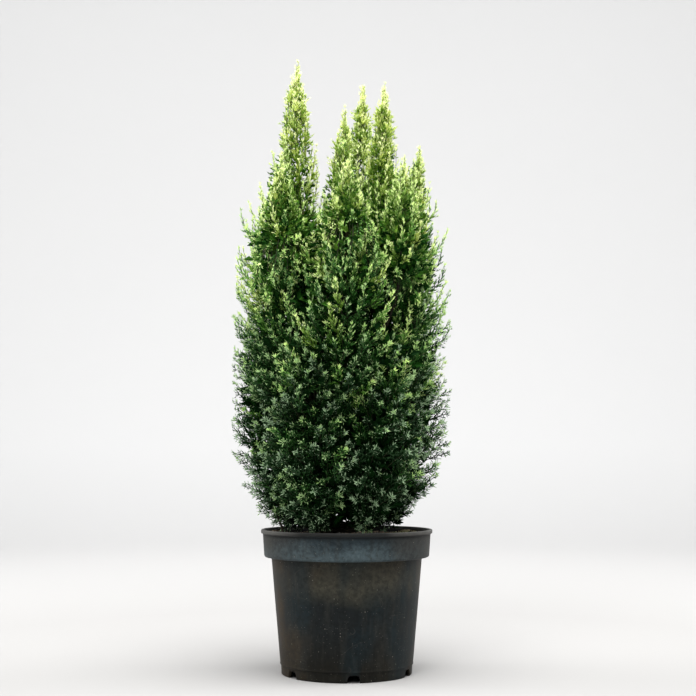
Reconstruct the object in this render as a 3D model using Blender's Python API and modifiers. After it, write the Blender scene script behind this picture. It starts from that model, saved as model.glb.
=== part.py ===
"""A potted Lawson cypress: a dense upright conifer with several peaks, in a round nursery pot.

Metres, +Z up. The origin is the middle of the pot's underside, on the ground. The front is -Y.
"""
import math
import random

import bmesh
import bpy
from mathutils import Matrix, Vector
from mathutils.bvhtree import BVHTree
from mathutils.geometry import intersect_line_line, intersect_ray_tri

# Pot
POT_RIM_RADIUS = 0.140
POT_HEIGHT = 0.230
POT_WALL = 0.0022
LIP_HEIGHT = 0.0065
LIP_WIDTH = 0.0045
COLLAR_TOP_RADIUS = 0.1372
COLLAR_FOOT_RADIUS = 0.1342
COLLAR_FOOT_Z = 0.186
BODY_TOP_RADIUS = 0.1225
BODY_FOOT_RADIUS = 0.1076
LEDGE_Z = 0.0170
FOOT_RADIUS = 0.1060
FOOT_WALL = 0.0050
FLOOR_UNDERSIDE_Z = 0.0130
FLOOR_TOP_Z = 0.0155
PAD_RADIUS = 0.0300
EDGE = 0.0015
POT_STEPS = 32
NOTCH_COUNT = 6
NOTCH_TURN = math.radians(-84.0)
NOTCH_WIDTH = 0.0200
NOTCH_HEIGHT = 0.0115

# Root ball
SOIL_Z = 0.2185
SOIL_GAP = 0.0004
SOIL_LUMP = 0.0018
SOIL_MOUND = Vector((-0.104, -0.020, 0.0065))
SOIL_MOUND_WIDTH = 0.020
SOIL_FLAT_RADIUS = 0.040
SOIL_FLAT_EDGE = 0.025
SOIL_RINGS = (0.030, 0.065, 0.100)
# Waves per metre, as radians, of the lumps along X, along Y and across both
LUMP_WAVES = (61.0, 53.0, 97.0)
SEAT_SPOTS = 8

# Limbs
CLEAR = 0.00035
LIMB_MARGIN = 0.0006
SQUARE_END = 0.0030
TRUNK_ROUTE = (
    (-0.0300, 0.0020, SOIL_Z + CLEAR + SQUARE_END),
    (-0.0298, 0.0020, 0.2340),
    (-0.0285, 0.0030, 0.2700),
    (-0.0280, 0.0050, 0.3600),
    (-0.0350, 0.0060, 0.4800),
    (-0.0510, 0.0040, 0.6000),
    (-0.0740, 0.0000, 0.7400),
    (-0.0840, -0.0030, 0.8700),
    (-0.0840, -0.0040, 0.9500),
)
TRUNK_FLARE_RADIUS = 0.0175
TRUNK_RADIUS = 0.0110
TRUNK_TIP_RADIUS = 0.0012
TRUNK_FLARE_HEIGHT = 0.012
TRUNK_TAPER = 0.9
TRUNK_STEPS = 16
TRUNK_RESOLUTION = 2
THIN_LIMB_RESOLUTION = 1
BOUGH_STEPS = 4
CUT_OVERRUN = 0.0020
BOUGH_FOOT_RADIUS = 0.0046
BOUGH_TIP_RADIUS = 0.0024
BOUGH_TURN = 0.020
BOUGH_TURN_SHARE = 0.35
BOUGH_RISE = 0.30
LONG_BOUGH = 0.2
SHORT_BOUGH_SIZE = 0.75
SIDE_STEM_FOOT = Vector((-0.1040, -0.0200, 0.0))
SIDE_STEM_TIP = Vector((-0.1180, -0.0300, 0.2680))
SIDE_STEM_FOOT_RADIUS = 0.0021
SIDE_STEM_TIP_RADIUS = 0.0013
SIDE_STEM_TURN = 0.010
SAMPLES_PER_SPAN = 6

# Crown
CROWN_X = -0.010
TIER_COUNT = 6
DIRECTIONS = {
    -90: "front", -45: "front_right", 0: "right", 45: "back_right",
    90: "back", 135: "back_left", 180: "left", 225: "front_left",
}
# Each tier: turn, foot radius and height, top radius and height, girth, height of its first bough
LOW_TIER = (0.58, 0.066, 0.226, 0.116, 0.570, 0.086, 0.229)
MIDDLE_TIER = (0.08, 0.096, 0.400, 0.102, 0.830, 0.087, 0.335)
BOUGH_HEIGHT_STEP = 0.006
# Each peak: name, foot, top, girth, height where its bough leaves the trunk
PEAKS = (
    ("left", (-0.1040, 0.0000, 0.560), (-0.0830, -0.004, 1.016), 0.067, None),
    ("inner_left", (-0.0220, -0.0440, 0.560), (-0.0030, -0.040, 0.924), 0.054, 0.500),
    ("centre", (0.0040, 0.0200, 0.550), (0.0280, 0.022, 0.984), 0.056, 0.530),
    ("right", (0.0480, -0.0300, 0.560), (0.0625, -0.020, 0.976), 0.056, 0.470),
    ("far_right", (0.0920, 0.0120, 0.580), (0.1225, 0.010, 0.875), 0.058, 0.440),
    ("front_left", (-0.0980, -0.0780, 0.580), (-0.1060, -0.084, 0.842), 0.064, 0.455),
    ("front", (-0.0020, -0.1040, 0.580), (0.0040, -0.108, 0.832), 0.064, 0.415),
    ("front_right", (0.0820, -0.0820, 0.580), (0.0920, -0.088, 0.834), 0.064, 0.425),
    ("back_left", (-0.0920, 0.0850, 0.580), (-0.1000, 0.088, 0.856), 0.064, 0.485),
    ("back", (-0.0100, 0.1020, 0.580), (-0.0080, 0.106, 0.868), 0.064, 0.400),
    ("back_right", (0.0640, 0.0850, 0.580), (0.0700, 0.088, 0.905), 0.064, 0.430),
)
ROUND_SHOULDER = 0.50
FLAME_SHOULDER = 0.38
FULLNESS = 2.5
FLAME_FULLNESS = 1.35
CORE_SHARE = 0.78
CORE_SIDES = 8
CORE_RINGS = 5
CORE_FOOT = 0.08
CORE_TOP = 0.88
CORE_SHARE_STEPS = 50
MIN_CORE_RADIUS = 0.004
CELL_CENTRE = 0.42
CELL_FLATTEN = 0.28
CELL_WEIGHT = 0.40
CELL_GAP = 0.0005
CORE_GAP = 0.0009
AXIS_ROOM = 0.0060
TRUNK_KEEP_OUT = 0.026
PEAK_KEEP_OUT = 0.014
STEM_OUT = 0.0060
STEM_RADIUS = 0.0024

# Sprays of scale leaves
GOLDEN_ANGLE = math.radians(137.508)
TIER_TWIGS = 17
PEAK_TWIGS = 10
TIER_SECTOR = math.radians(140.0)
TWIG_RADIUS = 0.0016
TWIG_START = 0.3
TWIG_TAPER = 0.5
TWIG_JITTER = 0.002
TWIG_END_INSET = 0.01
FIRST_TWIG = 0.6
LAST_TWIG = 0.4
REACH_SPREAD = (0.95, 1.06)
RISE_SPREAD = (0.8, 1.2)
SPRAY_RISE = 0.054
SPRAY_SINK = 0.006
SPRAY_HALF_THICK = 0.030
SPRAY_MIDDLE = 0.40
SPRAY_TILT = 0.6
SPRAY_ROOM = 0.006
RIM_CLEARANCE = 0.002
TWIG_SUNK_SHARE = 0.05
# Half outlines from the root, as shares of the length
THREE_FINGERS = ((0.52, 0.34), (0.58, 0.12), (1.00, 0.00))
FIVE_FINGERS = ((0.38, 0.30), (0.46, 0.13), (0.70, 0.27), (0.68, 0.10), (1.00, 0.00))
SHRINK_TRIES = (1.0, 0.8)
# Each upright spray at a peak: how far aside and how far below the top it ends
TIP_SPRAYS = ((0.0014, 0.0), (-0.0014, 0.014))
TIP_SPRAY_LENGTH = 0.044
TIP_SPRAY_TILT = 0.5
TIP_TWIG_INSET = 0.015
TIP_TWIG_TAPER = 0.6

COLOURS = {
    "pot_plastic": ((0.035, 0.040, 0.042), 0.45),
    "compost": ((0.030, 0.020, 0.014), 0.95),
    "bark": ((0.090, 0.050, 0.032), 0.90),
    "foliage_low": ((0.020, 0.060, 0.022), 0.60),
    "foliage_middle": ((0.045, 0.120, 0.030), 0.60),
    "foliage_peak": ((0.170, 0.260, 0.060), 0.60),
}


def clear_scene():
    for obj in list(bpy.data.objects):
        bpy.data.objects.remove(obj, do_unlink=True)


def new_collection(name):
    made = bpy.data.collections.new(name)
    bpy.context.scene.collection.children.link(made)
    return made


def plain_material(name):
    colour, roughness = COLOURS[name]
    made = bpy.data.materials.get(name) or bpy.data.materials.new(name)
    made.use_nodes = True
    shader = made.node_tree.nodes["Principled BSDF"]
    shader.inputs["Base Color"].default_value = (*colour, 1.0)
    shader.inputs["Roughness"].default_value = roughness
    shader.inputs["Metallic"].default_value = 0.0
    return made


def add_object(name, data, collection, material=None):
    obj = bpy.data.objects.new(name, data)
    collection.objects.link(obj)
    if material:
        data.materials.append(plain_material(material))
    return obj


def mesh_from(name, shape):
    """Turns a bmesh into a mesh and frees it."""
    mesh = bpy.data.meshes.new(name)
    shape.to_mesh(mesh)
    shape.free()
    return mesh


# Turned shapes


def turned(name, profile, collection, material):
    """Turns a profile of radii and heights round Z. The profile runs down the outside."""
    shape = bmesh.new()
    points = [shape.verts.new((radius, 0.0, height)) for radius, height in profile]
    for first, second in zip(points, points[1:]):
        shape.edges.new((first, second))
    obj = add_object(name, mesh_from(name, shape), collection, material)
    screw = obj.modifiers.new("turn", "SCREW")
    screw.axis = "Z"
    screw.steps = POT_STEPS
    screw.render_steps = POT_STEPS
    screw.use_merge_vertices = True
    screw.merge_threshold = 0.00005
    return obj


def collar_inside(height):
    """Inner radius of the collar at a height."""
    share = (height - COLLAR_FOOT_Z) / (POT_HEIGHT - COLLAR_FOOT_Z)
    return COLLAR_FOOT_RADIUS - POT_WALL + share * (COLLAR_TOP_RADIUS - COLLAR_FOOT_RADIUS)


def pot_profile():
    """The pot's wall from the lip down the outside, over the underside, and up the inside."""
    lip_foot = POT_HEIGHT - LIP_HEIGHT
    return (
        (POT_RIM_RADIUS - EDGE, POT_HEIGHT),
        (POT_RIM_RADIUS, POT_HEIGHT - EDGE),
        (POT_RIM_RADIUS, lip_foot + EDGE),
        (COLLAR_TOP_RADIUS, lip_foot),
        (COLLAR_FOOT_RADIUS, COLLAR_FOOT_Z + EDGE),
        (COLLAR_FOOT_RADIUS - EDGE, COLLAR_FOOT_Z),
        (BODY_TOP_RADIUS, COLLAR_FOOT_Z - 0.5 * EDGE),
        (BODY_FOOT_RADIUS, LEDGE_Z + EDGE),
        (BODY_FOOT_RADIUS - 0.5 * EDGE, LEDGE_Z),
        (FOOT_RADIUS, LEDGE_Z - EDGE),
        (FOOT_RADIUS - 0.5 * EDGE, 0.0),
        (FOOT_RADIUS - FOOT_WALL, 0.0),
        (FOOT_RADIUS - FOOT_WALL, FLOOR_UNDERSIDE_Z),
        (PAD_RADIUS + 2.0 * EDGE, FLOOR_UNDERSIDE_Z),
        (PAD_RADIUS, 0.0),
        (0.0, 0.0),
        (0.0, FLOOR_TOP_Z),
        (BODY_FOOT_RADIUS - POT_WALL - 2.0 * EDGE, FLOOR_TOP_Z),
        (BODY_FOOT_RADIUS - POT_WALL, FLOOR_TOP_Z + 3.0 * EDGE),
        (BODY_TOP_RADIUS - POT_WALL, COLLAR_FOOT_Z + EDGE),
        (collar_inside(COLLAR_FOOT_Z + 2.0 * EDGE), COLLAR_FOOT_Z + 2.0 * EDGE),
        (collar_inside(POT_HEIGHT - EDGE), POT_HEIGHT - EDGE),
        (POT_RIM_RADIUS - LIP_WIDTH, POT_HEIGHT),
        (POT_RIM_RADIUS - EDGE, POT_HEIGHT),
    )


def build_pot(collection, cutters):
    """The pot, with drain notches cut through its foot ring."""
    pot = turned("pot", pot_profile(), collection, "pot_plastic")
    for index in range(NOTCH_COUNT):
        angle = NOTCH_TURN + index * 2.0 * math.pi / NOTCH_COUNT
        shape = bmesh.new()
        bmesh.ops.create_cube(shape, size=1.0)
        size = Vector((4.0 * FOOT_WALL, NOTCH_WIDTH, 2.0 * NOTCH_HEIGHT))
        bmesh.ops.scale(shape, vec=size, verts=shape.verts)
        cutter = add_object(f"notch_{index + 1}", mesh_from("notch", shape), cutters)
        radius = FOOT_RADIUS - 0.5 * FOOT_WALL
        cutter.location = (radius * math.cos(angle), radius * math.sin(angle), 0.0)
        cutter.rotation_euler.z = angle
        cutter.hide_render = True
        cutter.display_type = "WIRE"
    cut = pot.modifiers.new("drain_notches", "BOOLEAN")
    cut.operand_type = "COLLECTION"
    cut.collection = cutters
    cut.operation = "DIFFERENCE"
    cut.solver = "EXACT"
    return pot


def smooth_step(value):
    value = max(0.0, min(1.0, value))
    return value * value * (3.0 - 2.0 * value)


def soil_height(x, y):
    """Height of the compost: flat round the trunk, lumpy elsewhere, with a mound near the pot's wall."""
    trunk_x, trunk_y, _ = TRUNK_ROUTE[0]
    from_trunk = math.hypot(x - trunk_x, y - trunk_y)
    free = smooth_step((from_trunk - SOIL_FLAT_RADIUS) / SOIL_FLAT_EDGE)
    along_x, along_y, across = LUMP_WAVES
    lumps = math.sin(along_x * x + 2.0) * math.cos(along_y * y - 1.0) + 0.6 * math.sin(across * (x + y))
    from_mound = math.hypot(x - SOIL_MOUND.x, y - SOIL_MOUND.y)
    mound = SOIL_MOUND.z * math.exp(-((from_mound / SOIL_MOUND_WIDTH) ** 2))
    return SOIL_Z + free * (SOIL_LUMP * lumps + mound)


def top_under(mesh, x, y, radius):
    """Highest point of a mesh's top face under a small disc."""
    shape = bmesh.new()
    shape.from_mesh(mesh)
    tree = BVHTree.FromBMesh(shape)
    shape.free()
    spots = [(x, y)]
    for step in range(SEAT_SPOTS):
        angle = step * 2.0 * math.pi / SEAT_SPOTS
        spots.append((x + radius * math.cos(angle), y + radius * math.sin(angle)))
    return max(tree.ray_cast(Vector((*spot, 1.0)), Vector((0.0, 0.0, -1.0)))[0].z for spot in spots)


def build_root_ball(collection):
    """The compost fills the pot, a hair clear of its wall, and its top is lifted into lumps."""
    foot = BODY_FOOT_RADIUS - POT_WALL - SOIL_GAP
    waist = BODY_TOP_RADIUS - POT_WALL - SOIL_GAP
    shoulder_z = COLLAR_FOOT_Z + 4.0 * EDGE
    edge_z = SOIL_Z - EDGE
    profile = [(0.0, SOIL_Z)]
    profile += [(radius, SOIL_Z) for radius in SOIL_RINGS]
    profile += [
        (collar_inside(edge_z) - 2.0 * SOIL_GAP, edge_z),
        (collar_inside(shoulder_z) - 2.0 * SOIL_GAP, shoulder_z),
        (waist, COLLAR_FOOT_Z + 3.0 * EDGE),
        (foot, FLOOR_TOP_Z + 4.0 * EDGE),
        (foot - 3.0 * EDGE, FLOOR_TOP_Z + SOIL_GAP),
        (0.0, FLOOR_TOP_Z + SOIL_GAP),
    ]
    ball = turned("root_ball", profile, collection, "compost")
    mesh = evaluated_mesh(ball)
    for vertex in mesh.vertices:
        if vertex.co.z > edge_z + 0.5 * EDGE:
            vertex.co.z = soil_height(vertex.co.x, vertex.co.y)
    ball.modifiers.clear()
    ball.data = mesh
    return ball


def evaluated_mesh(obj):
    graph = bpy.context.evaluated_depsgraph_get()
    return bpy.data.meshes.new_from_object(obj.evaluated_get(graph), depsgraph=graph)


# Limbs


def smooth_route(points, steps):
    """Catmull-Rom curve through the points, read at even shares of its parameter."""
    points = [Vector(point) for point in points]
    padded = [2 * points[0] - points[1], *points, 2 * points[-1] - points[-2]]
    spans = len(points) - 1
    route = []
    for index in range(steps + 1):
        place = spans * index / steps
        span = min(int(place), spans - 1)
        t = place - span
        a, b, c, d = padded[span:span + 4]
        route.append(
            0.5 * (2 * b + (c - a) * t + (2 * a - 5 * b + 4 * c - d) * t * t
                   + (3 * b - a - 3 * c + d) * t * t * t)
        )
    return route


def limb_route(start, start_way, start_pull, end, end_way, end_pull):
    """A smooth curve that begins and ends with a short straight stretch, so its ends are square."""
    first = start + SQUARE_END * start_way
    last = end - SQUARE_END * end_way
    pull = first + start_pull * start_way
    push = last - end_pull * end_way
    route = [start]
    for index in range(BOUGH_STEPS + 1):
        t = index / BOUGH_STEPS
        s = 1.0 - t
        route.append(s ** 3 * first + 3 * s * s * t * pull + 3 * s * t * t * push + t ** 3 * last)
    return [*route, end]


def even_taper(foot_radius, tip_radius, points):
    return [foot_radius + (tip_radius - foot_radius) * index / (points - 1) for index in range(points)]


class Limb:
    """A tapering round limb along a route, as a trunk, a bough or the side stem."""

    def __init__(self, name, route, radii, resolution):
        self.name = name
        self.route = route
        self.radii = radii
        self.resolution = resolution

    def at_height(self, height):
        """Centre and radius where the limb passes a height."""
        pairs = zip(self.route, self.route[1:], self.radii, self.radii[1:])
        for low, high, low_radius, high_radius in pairs:
            if low.z <= height <= high.z:
                share = (height - low.z) / (high.z - low.z)
                return low.lerp(high, share), low_radius + share * (high_radius - low_radius)
        return self.route[-1], self.radii[-1]

    def curve(self, collection, material, grow=0.0, overrun=0.0):
        """The limb as a curve with a round bevel. Grow and overrun make the cutter that clears it."""
        route = [point.copy() for point in self.route]
        route[0] -= overrun * (route[1] - route[0]).normalized()
        route[-1] += overrun * (route[-1] - route[-2]).normalized()
        data = bpy.data.curves.new(self.name, "CURVE")
        data.dimensions = "3D"
        data.bevel_depth = 1.0
        data.bevel_resolution = self.resolution
        data.use_fill_caps = True
        spline = data.splines.new("POLY")
        spline.points.add(len(route) - 1)
        for point, place, radius in zip(spline.points, route, self.radii):
            point.co = (*place, 1.0)
            point.radius = radius + grow
        return add_object(self.name, data, collection, material)

    def clear_of(self, corners, margin):
        """True if a triangle's sides stay clear of the limb and the limb doesn't pierce it."""
        for low, high, radius in zip(self.route, self.route[1:], self.radii):
            reach = radius + margin
            for first, second in ((0, 1), (1, 2), (2, 0)):
                if segment_distance(low, high, corners[first], corners[second]) < reach:
                    return False
            along = high - low
            hit = intersect_ray_tri(*corners, along, low, True)
            if hit and (hit - low).length <= along.length:
                return False
        return True


def segment_distance(a, b, c, d):
    """Shortest distance between segments ab and cd."""
    found = intersect_line_line(a, b, c, d)
    best = 1.0
    if found:
        on_first, on_second = found
        if inside(on_first, a, b) and inside(on_second, c, d):
            return (on_first - on_second).length
    for point, low, high in ((a, c, d), (b, c, d), (c, a, b), (d, a, b)):
        along = high - low
        share = max(0.0, min(1.0, (point - low).dot(along) / along.length_squared))
        best = min(best, (point - low - share * along).length)
    return best


def inside(point, low, high):
    along = high - low
    return 0.0 <= (point - low).dot(along) <= along.length_squared


def make_trunk():
    route = smooth_route(TRUNK_ROUTE, TRUNK_STEPS)
    route.insert(0, route[0] - Vector((0.0, 0.0, SQUARE_END)))
    low, high = route[0].z, route[-1].z
    radii = []
    for point in route:
        share = (point.z - low) / (high - low)
        flare = (TRUNK_FLARE_RADIUS - TRUNK_RADIUS) * math.exp(-(point.z - low) / TRUNK_FLARE_HEIGHT)
        taper = (TRUNK_RADIUS - TRUNK_TIP_RADIUS) * (1.0 - share) ** TRUNK_TAPER
        radii.append(TRUNK_TIP_RADIUS + taper + flare)
    return Limb("trunk", route, radii, TRUNK_RESOLUTION)


def make_bough(name, trunk, mass, height):
    """A bough leaves the trunk square to it, turns up, and ends at the foot of its mass's stem."""
    centre, _ = trunk.at_height(height)
    _, trunk_radius = trunk.at_height(height - BOUGH_FOOT_RADIUS)
    away = mass.stem_foot - centre
    away.z = 0.0
    away.normalize()
    start = centre + away * (trunk_radius + CLEAR)
    end = mass.stem_foot - CLEAR * mass.stem_way
    span = (end - start).length
    turn = min(BOUGH_TURN, BOUGH_TURN_SHARE * span)
    route = limb_route(start, away, turn, end, mass.stem_way, BOUGH_RISE * span)
    size = SHORT_BOUGH_SIZE + (1.0 - SHORT_BOUGH_SIZE) * min(1.0, span / LONG_BOUGH)
    radii = even_taper(size * BOUGH_FOOT_RADIUS, size * BOUGH_TIP_RADIUS, len(route))
    return Limb(name, route, radii, THIN_LIMB_RESOLUTION)


def make_side_stem(soil):
    """A thin stem that rises from the compost by the pot's wall, and leans out into the low foliage."""
    foot = SIDE_STEM_FOOT.copy()
    foot.z = top_under(soil, foot.x, foot.y, SIDE_STEM_FOOT_RADIUS) + CLEAR
    lean = (SIDE_STEM_TIP - foot).normalized()
    up = Vector((0.0, 0.0, 1.0))
    route = limb_route(foot, up, SIDE_STEM_TURN, SIDE_STEM_TIP, lean, SIDE_STEM_TURN)
    radii = even_taper(SIDE_STEM_FOOT_RADIUS, SIDE_STEM_TIP_RADIUS, len(route))
    return Limb("side_stem", route, radii, THIN_LIMB_RESOLUTION)


# Masses of foliage


class Mass:
    """One plume: a space round a straight axis, which swells from its foot and narrows to its top."""

    def __init__(self, name, foot, top, girth, pointed, bough_height, material):
        self.name = name
        self.facing = math.atan2(foot[1], foot[0] - CROWN_X)
        self.sector = 2.0 * math.pi if pointed else TIER_SECTOR
        self.foot = Vector(foot)
        self.top = Vector(top)
        self.girth = girth
        self.pointed = pointed
        self.shoulder = FLAME_SHOULDER if pointed else ROUND_SHOULDER
        self.bough_height = bough_height
        self.material = material
        self.walls = []

    def axis(self, share):
        return self.foot.lerp(self.top, share)

    def swell(self, share):
        """Half width of the space at a share of its height, full below and round or pointed above."""
        if share <= 0.0 or share >= 1.0:
            return 0.0
        if share < self.shoulder:
            off = 1.0 - share / self.shoulder
            return self.girth * (1.0 - off ** FULLNESS) ** (1.0 / FULLNESS)
        off = (share - self.shoulder) / (1.0 - self.shoulder)
        if self.pointed:
            return self.girth * (1.0 - off ** FLAME_FULLNESS)
        return self.girth * (1.0 - off ** FULLNESS) ** (1.0 / FULLNESS)

    def centre(self):
        return self.axis(CELL_CENTRE)

    def add_wall_towards(self, other):
        """The flat wall between two masses, where their flattened and weighted distances are equal."""
        squash = CELL_FLATTEN ** 2
        mine, its = self.centre(), other.centre()
        step = its - mine
        normal = Vector((step.x, step.y, squash * step.z))
        size = [c.x ** 2 + c.y ** 2 + squash * c.z ** 2 for c in (mine, its)]
        weight = CELL_WEIGHT * (self.girth ** 2 - other.girth ** 2)
        offset = 0.5 * (size[1] - size[0] + weight)
        self.walls.append((normal.normalized(), offset / normal.length))

    def add_trunk_wall(self, trunk, keep_out):
        """A flat wall, leaning with the trunk, that keeps the mass away from it."""
        low = trunk.at_height(self.foot.z)[0]
        high = trunk.at_height(min(self.top.z, trunk.route[-1].z))[0]
        along = (high - low).normalized()
        normal = low.lerp(high, 0.5) - self.centre()
        normal = (normal - normal.dot(along) * along).normalized()
        middle = trunk.at_height(self.centre().z)[0]
        reach = min(normal.dot(point) for point in (low, middle, high))
        self.walls.append((normal, reach - keep_out))

    def room(self, point):
        """Distance from a point to the nearest wall, negative outside."""
        return min(offset - normal.dot(point) for normal, offset in self.walls)

    def reach(self, start, way, most, gap):
        """How far a straight way from start can go before a wall, and at most a given distance."""
        for normal, offset in self.walls:
            closing = normal.dot(way)
            if closing > 1e-6:
                most = min(most, (offset - gap - normal.dot(start)) / closing)
        return most

    def plan_core(self):
        """Finds the part of the axis that lies in the space, and where the stem comes out of the core."""
        step = (CORE_TOP - CORE_FOOT) / CORE_SHARE_STEPS
        shares = [CORE_FOOT + step * index for index in range(CORE_SHARE_STEPS + 1)]
        within = [share for share in shares if self.room(self.axis(share)) > AXIS_ROOM]
        self.core_low, self.core_high = min(within), max(within)
        low_end = self.axis(self.core_low)
        self.stem_way = (self.axis(1.0) - low_end).normalized()
        self.stem_foot = low_end - self.stem_way * STEM_OUT

    def core_radius(self, share, way):
        return self.reach(self.axis(share), way, CORE_SHARE * self.swell(share), CORE_GAP)

    def core_mesh(self):
        """The dense inner body: rings round the axis, pulled in where a wall is near."""
        shape = bmesh.new()
        bmesh.ops.create_uvsphere(
            shape, u_segments=CORE_SIDES, v_segments=CORE_RINGS + 1, radius=1.0)
        for vertex in shape.verts:
            way = Vector((vertex.co.x, vertex.co.y, 0.0))
            share = self.core_low + (self.core_high - self.core_low) * 0.5 * (1.0 + vertex.co.z)
            vertex.co = self.axis(share)
            if way.length > 0.01:
                way.normalize()
                vertex.co += way * max(MIN_CORE_RADIUS, self.core_radius(share, way))
        return mesh_from(self.name, shape)


def tier_masses(label, tier, material):
    """A ring of masses round the crown's middle, named by the way they face."""
    turn, foot_radius, foot_z, top_radius, top_z, girth, bough_height = tier
    masses = []
    for index in range(TIER_COUNT):
        degrees = (index + turn) * 360.0 / TIER_COUNT - 90.0
        direction = DIRECTIONS[min(DIRECTIONS, key=lambda named: abs(named - degrees))]
        way = Vector((math.cos(math.radians(degrees)), math.sin(math.radians(degrees)), 0.0))
        foot = Vector((CROWN_X, 0.0, foot_z)) + foot_radius * way
        top = Vector((CROWN_X, 0.0, top_z)) + top_radius * way
        height = bough_height + BOUGH_HEIGHT_STEP * (index % 3)
        masses.append(Mass(f"{label}_{direction}", foot, top, girth, False, height, material))
    return masses


def make_masses(trunk):
    masses = tier_masses("low", LOW_TIER, "foliage_low")
    masses += tier_masses("middle", MIDDLE_TIER, "foliage_middle")
    for name, foot, top, girth, height in PEAKS:
        masses.append(Mass(f"peak_{name}", foot, top, girth, True, height, "foliage_peak"))
    for mass in masses:
        for other in masses:
            if other is not mass:
                mass.add_wall_towards(other)
        if mass.bough_height is not None:
            mass.add_trunk_wall(trunk, PEAK_KEEP_OUT if mass.pointed else TRUNK_KEEP_OUT)
        mass.plan_core()
    return masses


def spray_corners(half_outline, root, way, face, length):
    """Corners of a toothed blade: its outline, then one point over and one under its middle."""
    side = face.cross(way)
    outline = [root]
    outline += [root + length * (x * way + y * side) for x, y in half_outline]
    outline += [root + length * (x * way - y * side) for x, y in reversed(half_outline[:-1])]
    middle = root + SPRAY_MIDDLE * length * way
    thick = SPRAY_HALF_THICK * length * face
    return outline, middle + thick, middle - thick


def spray_mesh(outline, over, under):
    """A blade of triangles that fan from the two middle points to the toothed outline."""
    shape = bmesh.new()
    rim = [shape.verts.new(point) for point in outline]
    top, bottom = shape.verts.new(over), shape.verts.new(under)
    for first, second in zip(rim, rim[1:] + rim[:1]):
        shape.faces.new((first, second, top))
        shape.faces.new((second, first, bottom))
    bmesh.ops.recalc_face_normals(shape, faces=shape.faces)
    return mesh_from("spray", shape)


def twig_mesh(start, end, start_radius, end_radius):
    """A three-sided twig."""
    shape = bmesh.new()
    along = end - start
    turn = along.to_track_quat("Z", "Y").to_matrix().to_4x4()
    place = Matrix.Translation((start + end) / 2) @ turn
    bmesh.ops.create_cone(shape, cap_ends=True, cap_tris=True, segments=3, radius1=start_radius,
                          radius2=end_radius, depth=along.length, matrix=place)
    return mesh_from("twig", shape)


class Grower:
    """Grows a mass's twigs and sprays into a collection. What would leave the space is left out."""

    def __init__(self, mass, limbs, collection):
        self.mass = mass
        self.limbs = limbs
        self.collection = collection
        self.rng = random.Random(mass.name)

    def jitter(self, size):
        return size * Vector([self.rng.uniform(-1.0, 1.0) for _ in range(3)])

    def clear_of_limbs(self, corners, margin):
        return all(limb.clear_of(corners, margin) for limb in self.limbs)

    def fits(self, outline, over, under):
        corners = [*outline, over, under]
        if min(self.mass.room(corner) for corner in corners) < CELL_GAP:
            return False
        if min(corner.z for corner in corners) < POT_HEIGHT + RIM_CLEARANCE:
            return False
        edges = zip(outline, outline[1:] + outline[:1])
        margin = LIMB_MARGIN + (over - under).length / 2
        return all(self.clear_of_limbs((first, second, over), margin) for first, second in edges)

    def spray(self, half_outline, root, end, face):
        """Adds a blade from root to end, flat or on edge and made smaller until it fits."""
        way = (end - root).normalized()
        flat = (face - face.dot(way) * way).normalized()
        for size in SHRINK_TRIES:
            for turned_face in (flat, flat.cross(way)):
                shape = spray_corners(half_outline, root, way, turned_face, size * (end - root).length)
                if self.fits(*shape):
                    add_object("spray", spray_mesh(*shape), self.collection)
                    return True
        return False

    def add_twig(self, start, end, taper):
        add_object("twig", twig_mesh(start, end, TWIG_RADIUS, taper * TWIG_RADIUS), self.collection)

    def grow(self):
        """Twigs at golden-angle turns from the foot of the stem to its top, and the tip's sprays."""
        mass = self.mass
        count = PEAK_TWIGS if mass.pointed else TIER_TWIGS
        for index in range(count):
            turn = (index * GOLDEN_ANGLE / (2.0 * math.pi)) % 1.0
            share = (index + FIRST_TWIG) / (count + LAST_TWIG)
            self.twig(share, mass.facing + (turn - 0.5) * mass.sector)
        if mass.pointed:
            self.tip()

    def twig(self, share, angle):
        """A twig from the stem, with a spray that rises from inside the core out to the outline."""
        mass, rng = self.mass, self.rng
        out = Vector((math.cos(angle), math.sin(angle), 0.0))
        middle = mass.axis(share)
        far = mass.swell(share) * rng.uniform(*REACH_SPREAD)
        end = middle + out * mass.reach(middle, out, far, SPRAY_ROOM)
        rise = SPRAY_RISE * rng.uniform(*RISE_SPREAD) / (mass.top - mass.foot).length
        low, high = mass.core_low + TWIG_END_INSET, mass.core_high - TWIG_END_INSET
        share = max(low, min(high, share - rise))
        core = mass.core_radius(share, out)
        start = mass.axis(share) + TWIG_START * core * out
        root = mass.axis(share) + max(TWIG_START * core, core - SPRAY_SINK) * out
        root += self.jitter(TWIG_JITTER)
        if mass.room(end) < CELL_GAP:
            return
        if not self.clear_of_limbs((start, root, end), LIMB_MARGIN + TWIG_RADIUS):
            return
        if self.spray(THREE_FINGERS, root, end, out + self.jitter(SPRAY_TILT)):
            self.add_twig(start, root.lerp(end, TWIG_SUNK_SHARE), TWIG_TAPER)

    def tip(self):
        """Upright sprays that carry the mass to its very top."""
        mass = self.mass
        start = mass.axis(mass.core_high - TIP_TWIG_INSET)
        facing_front = Vector((0.0, 1.0, 0.0))
        for aside, drop in TIP_SPRAYS:
            end = mass.top + Vector((aside, 0.0, -drop))
            root = end + TIP_SPRAY_LENGTH * (start - end).normalized()
            if self.spray(FIVE_FINGERS, root, end, facing_front + self.jitter(TIP_SPRAY_TILT)):
                self.add_twig(start, root.lerp(end, TWIG_SUNK_SHARE), TIP_TWIG_TAPER)


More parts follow.
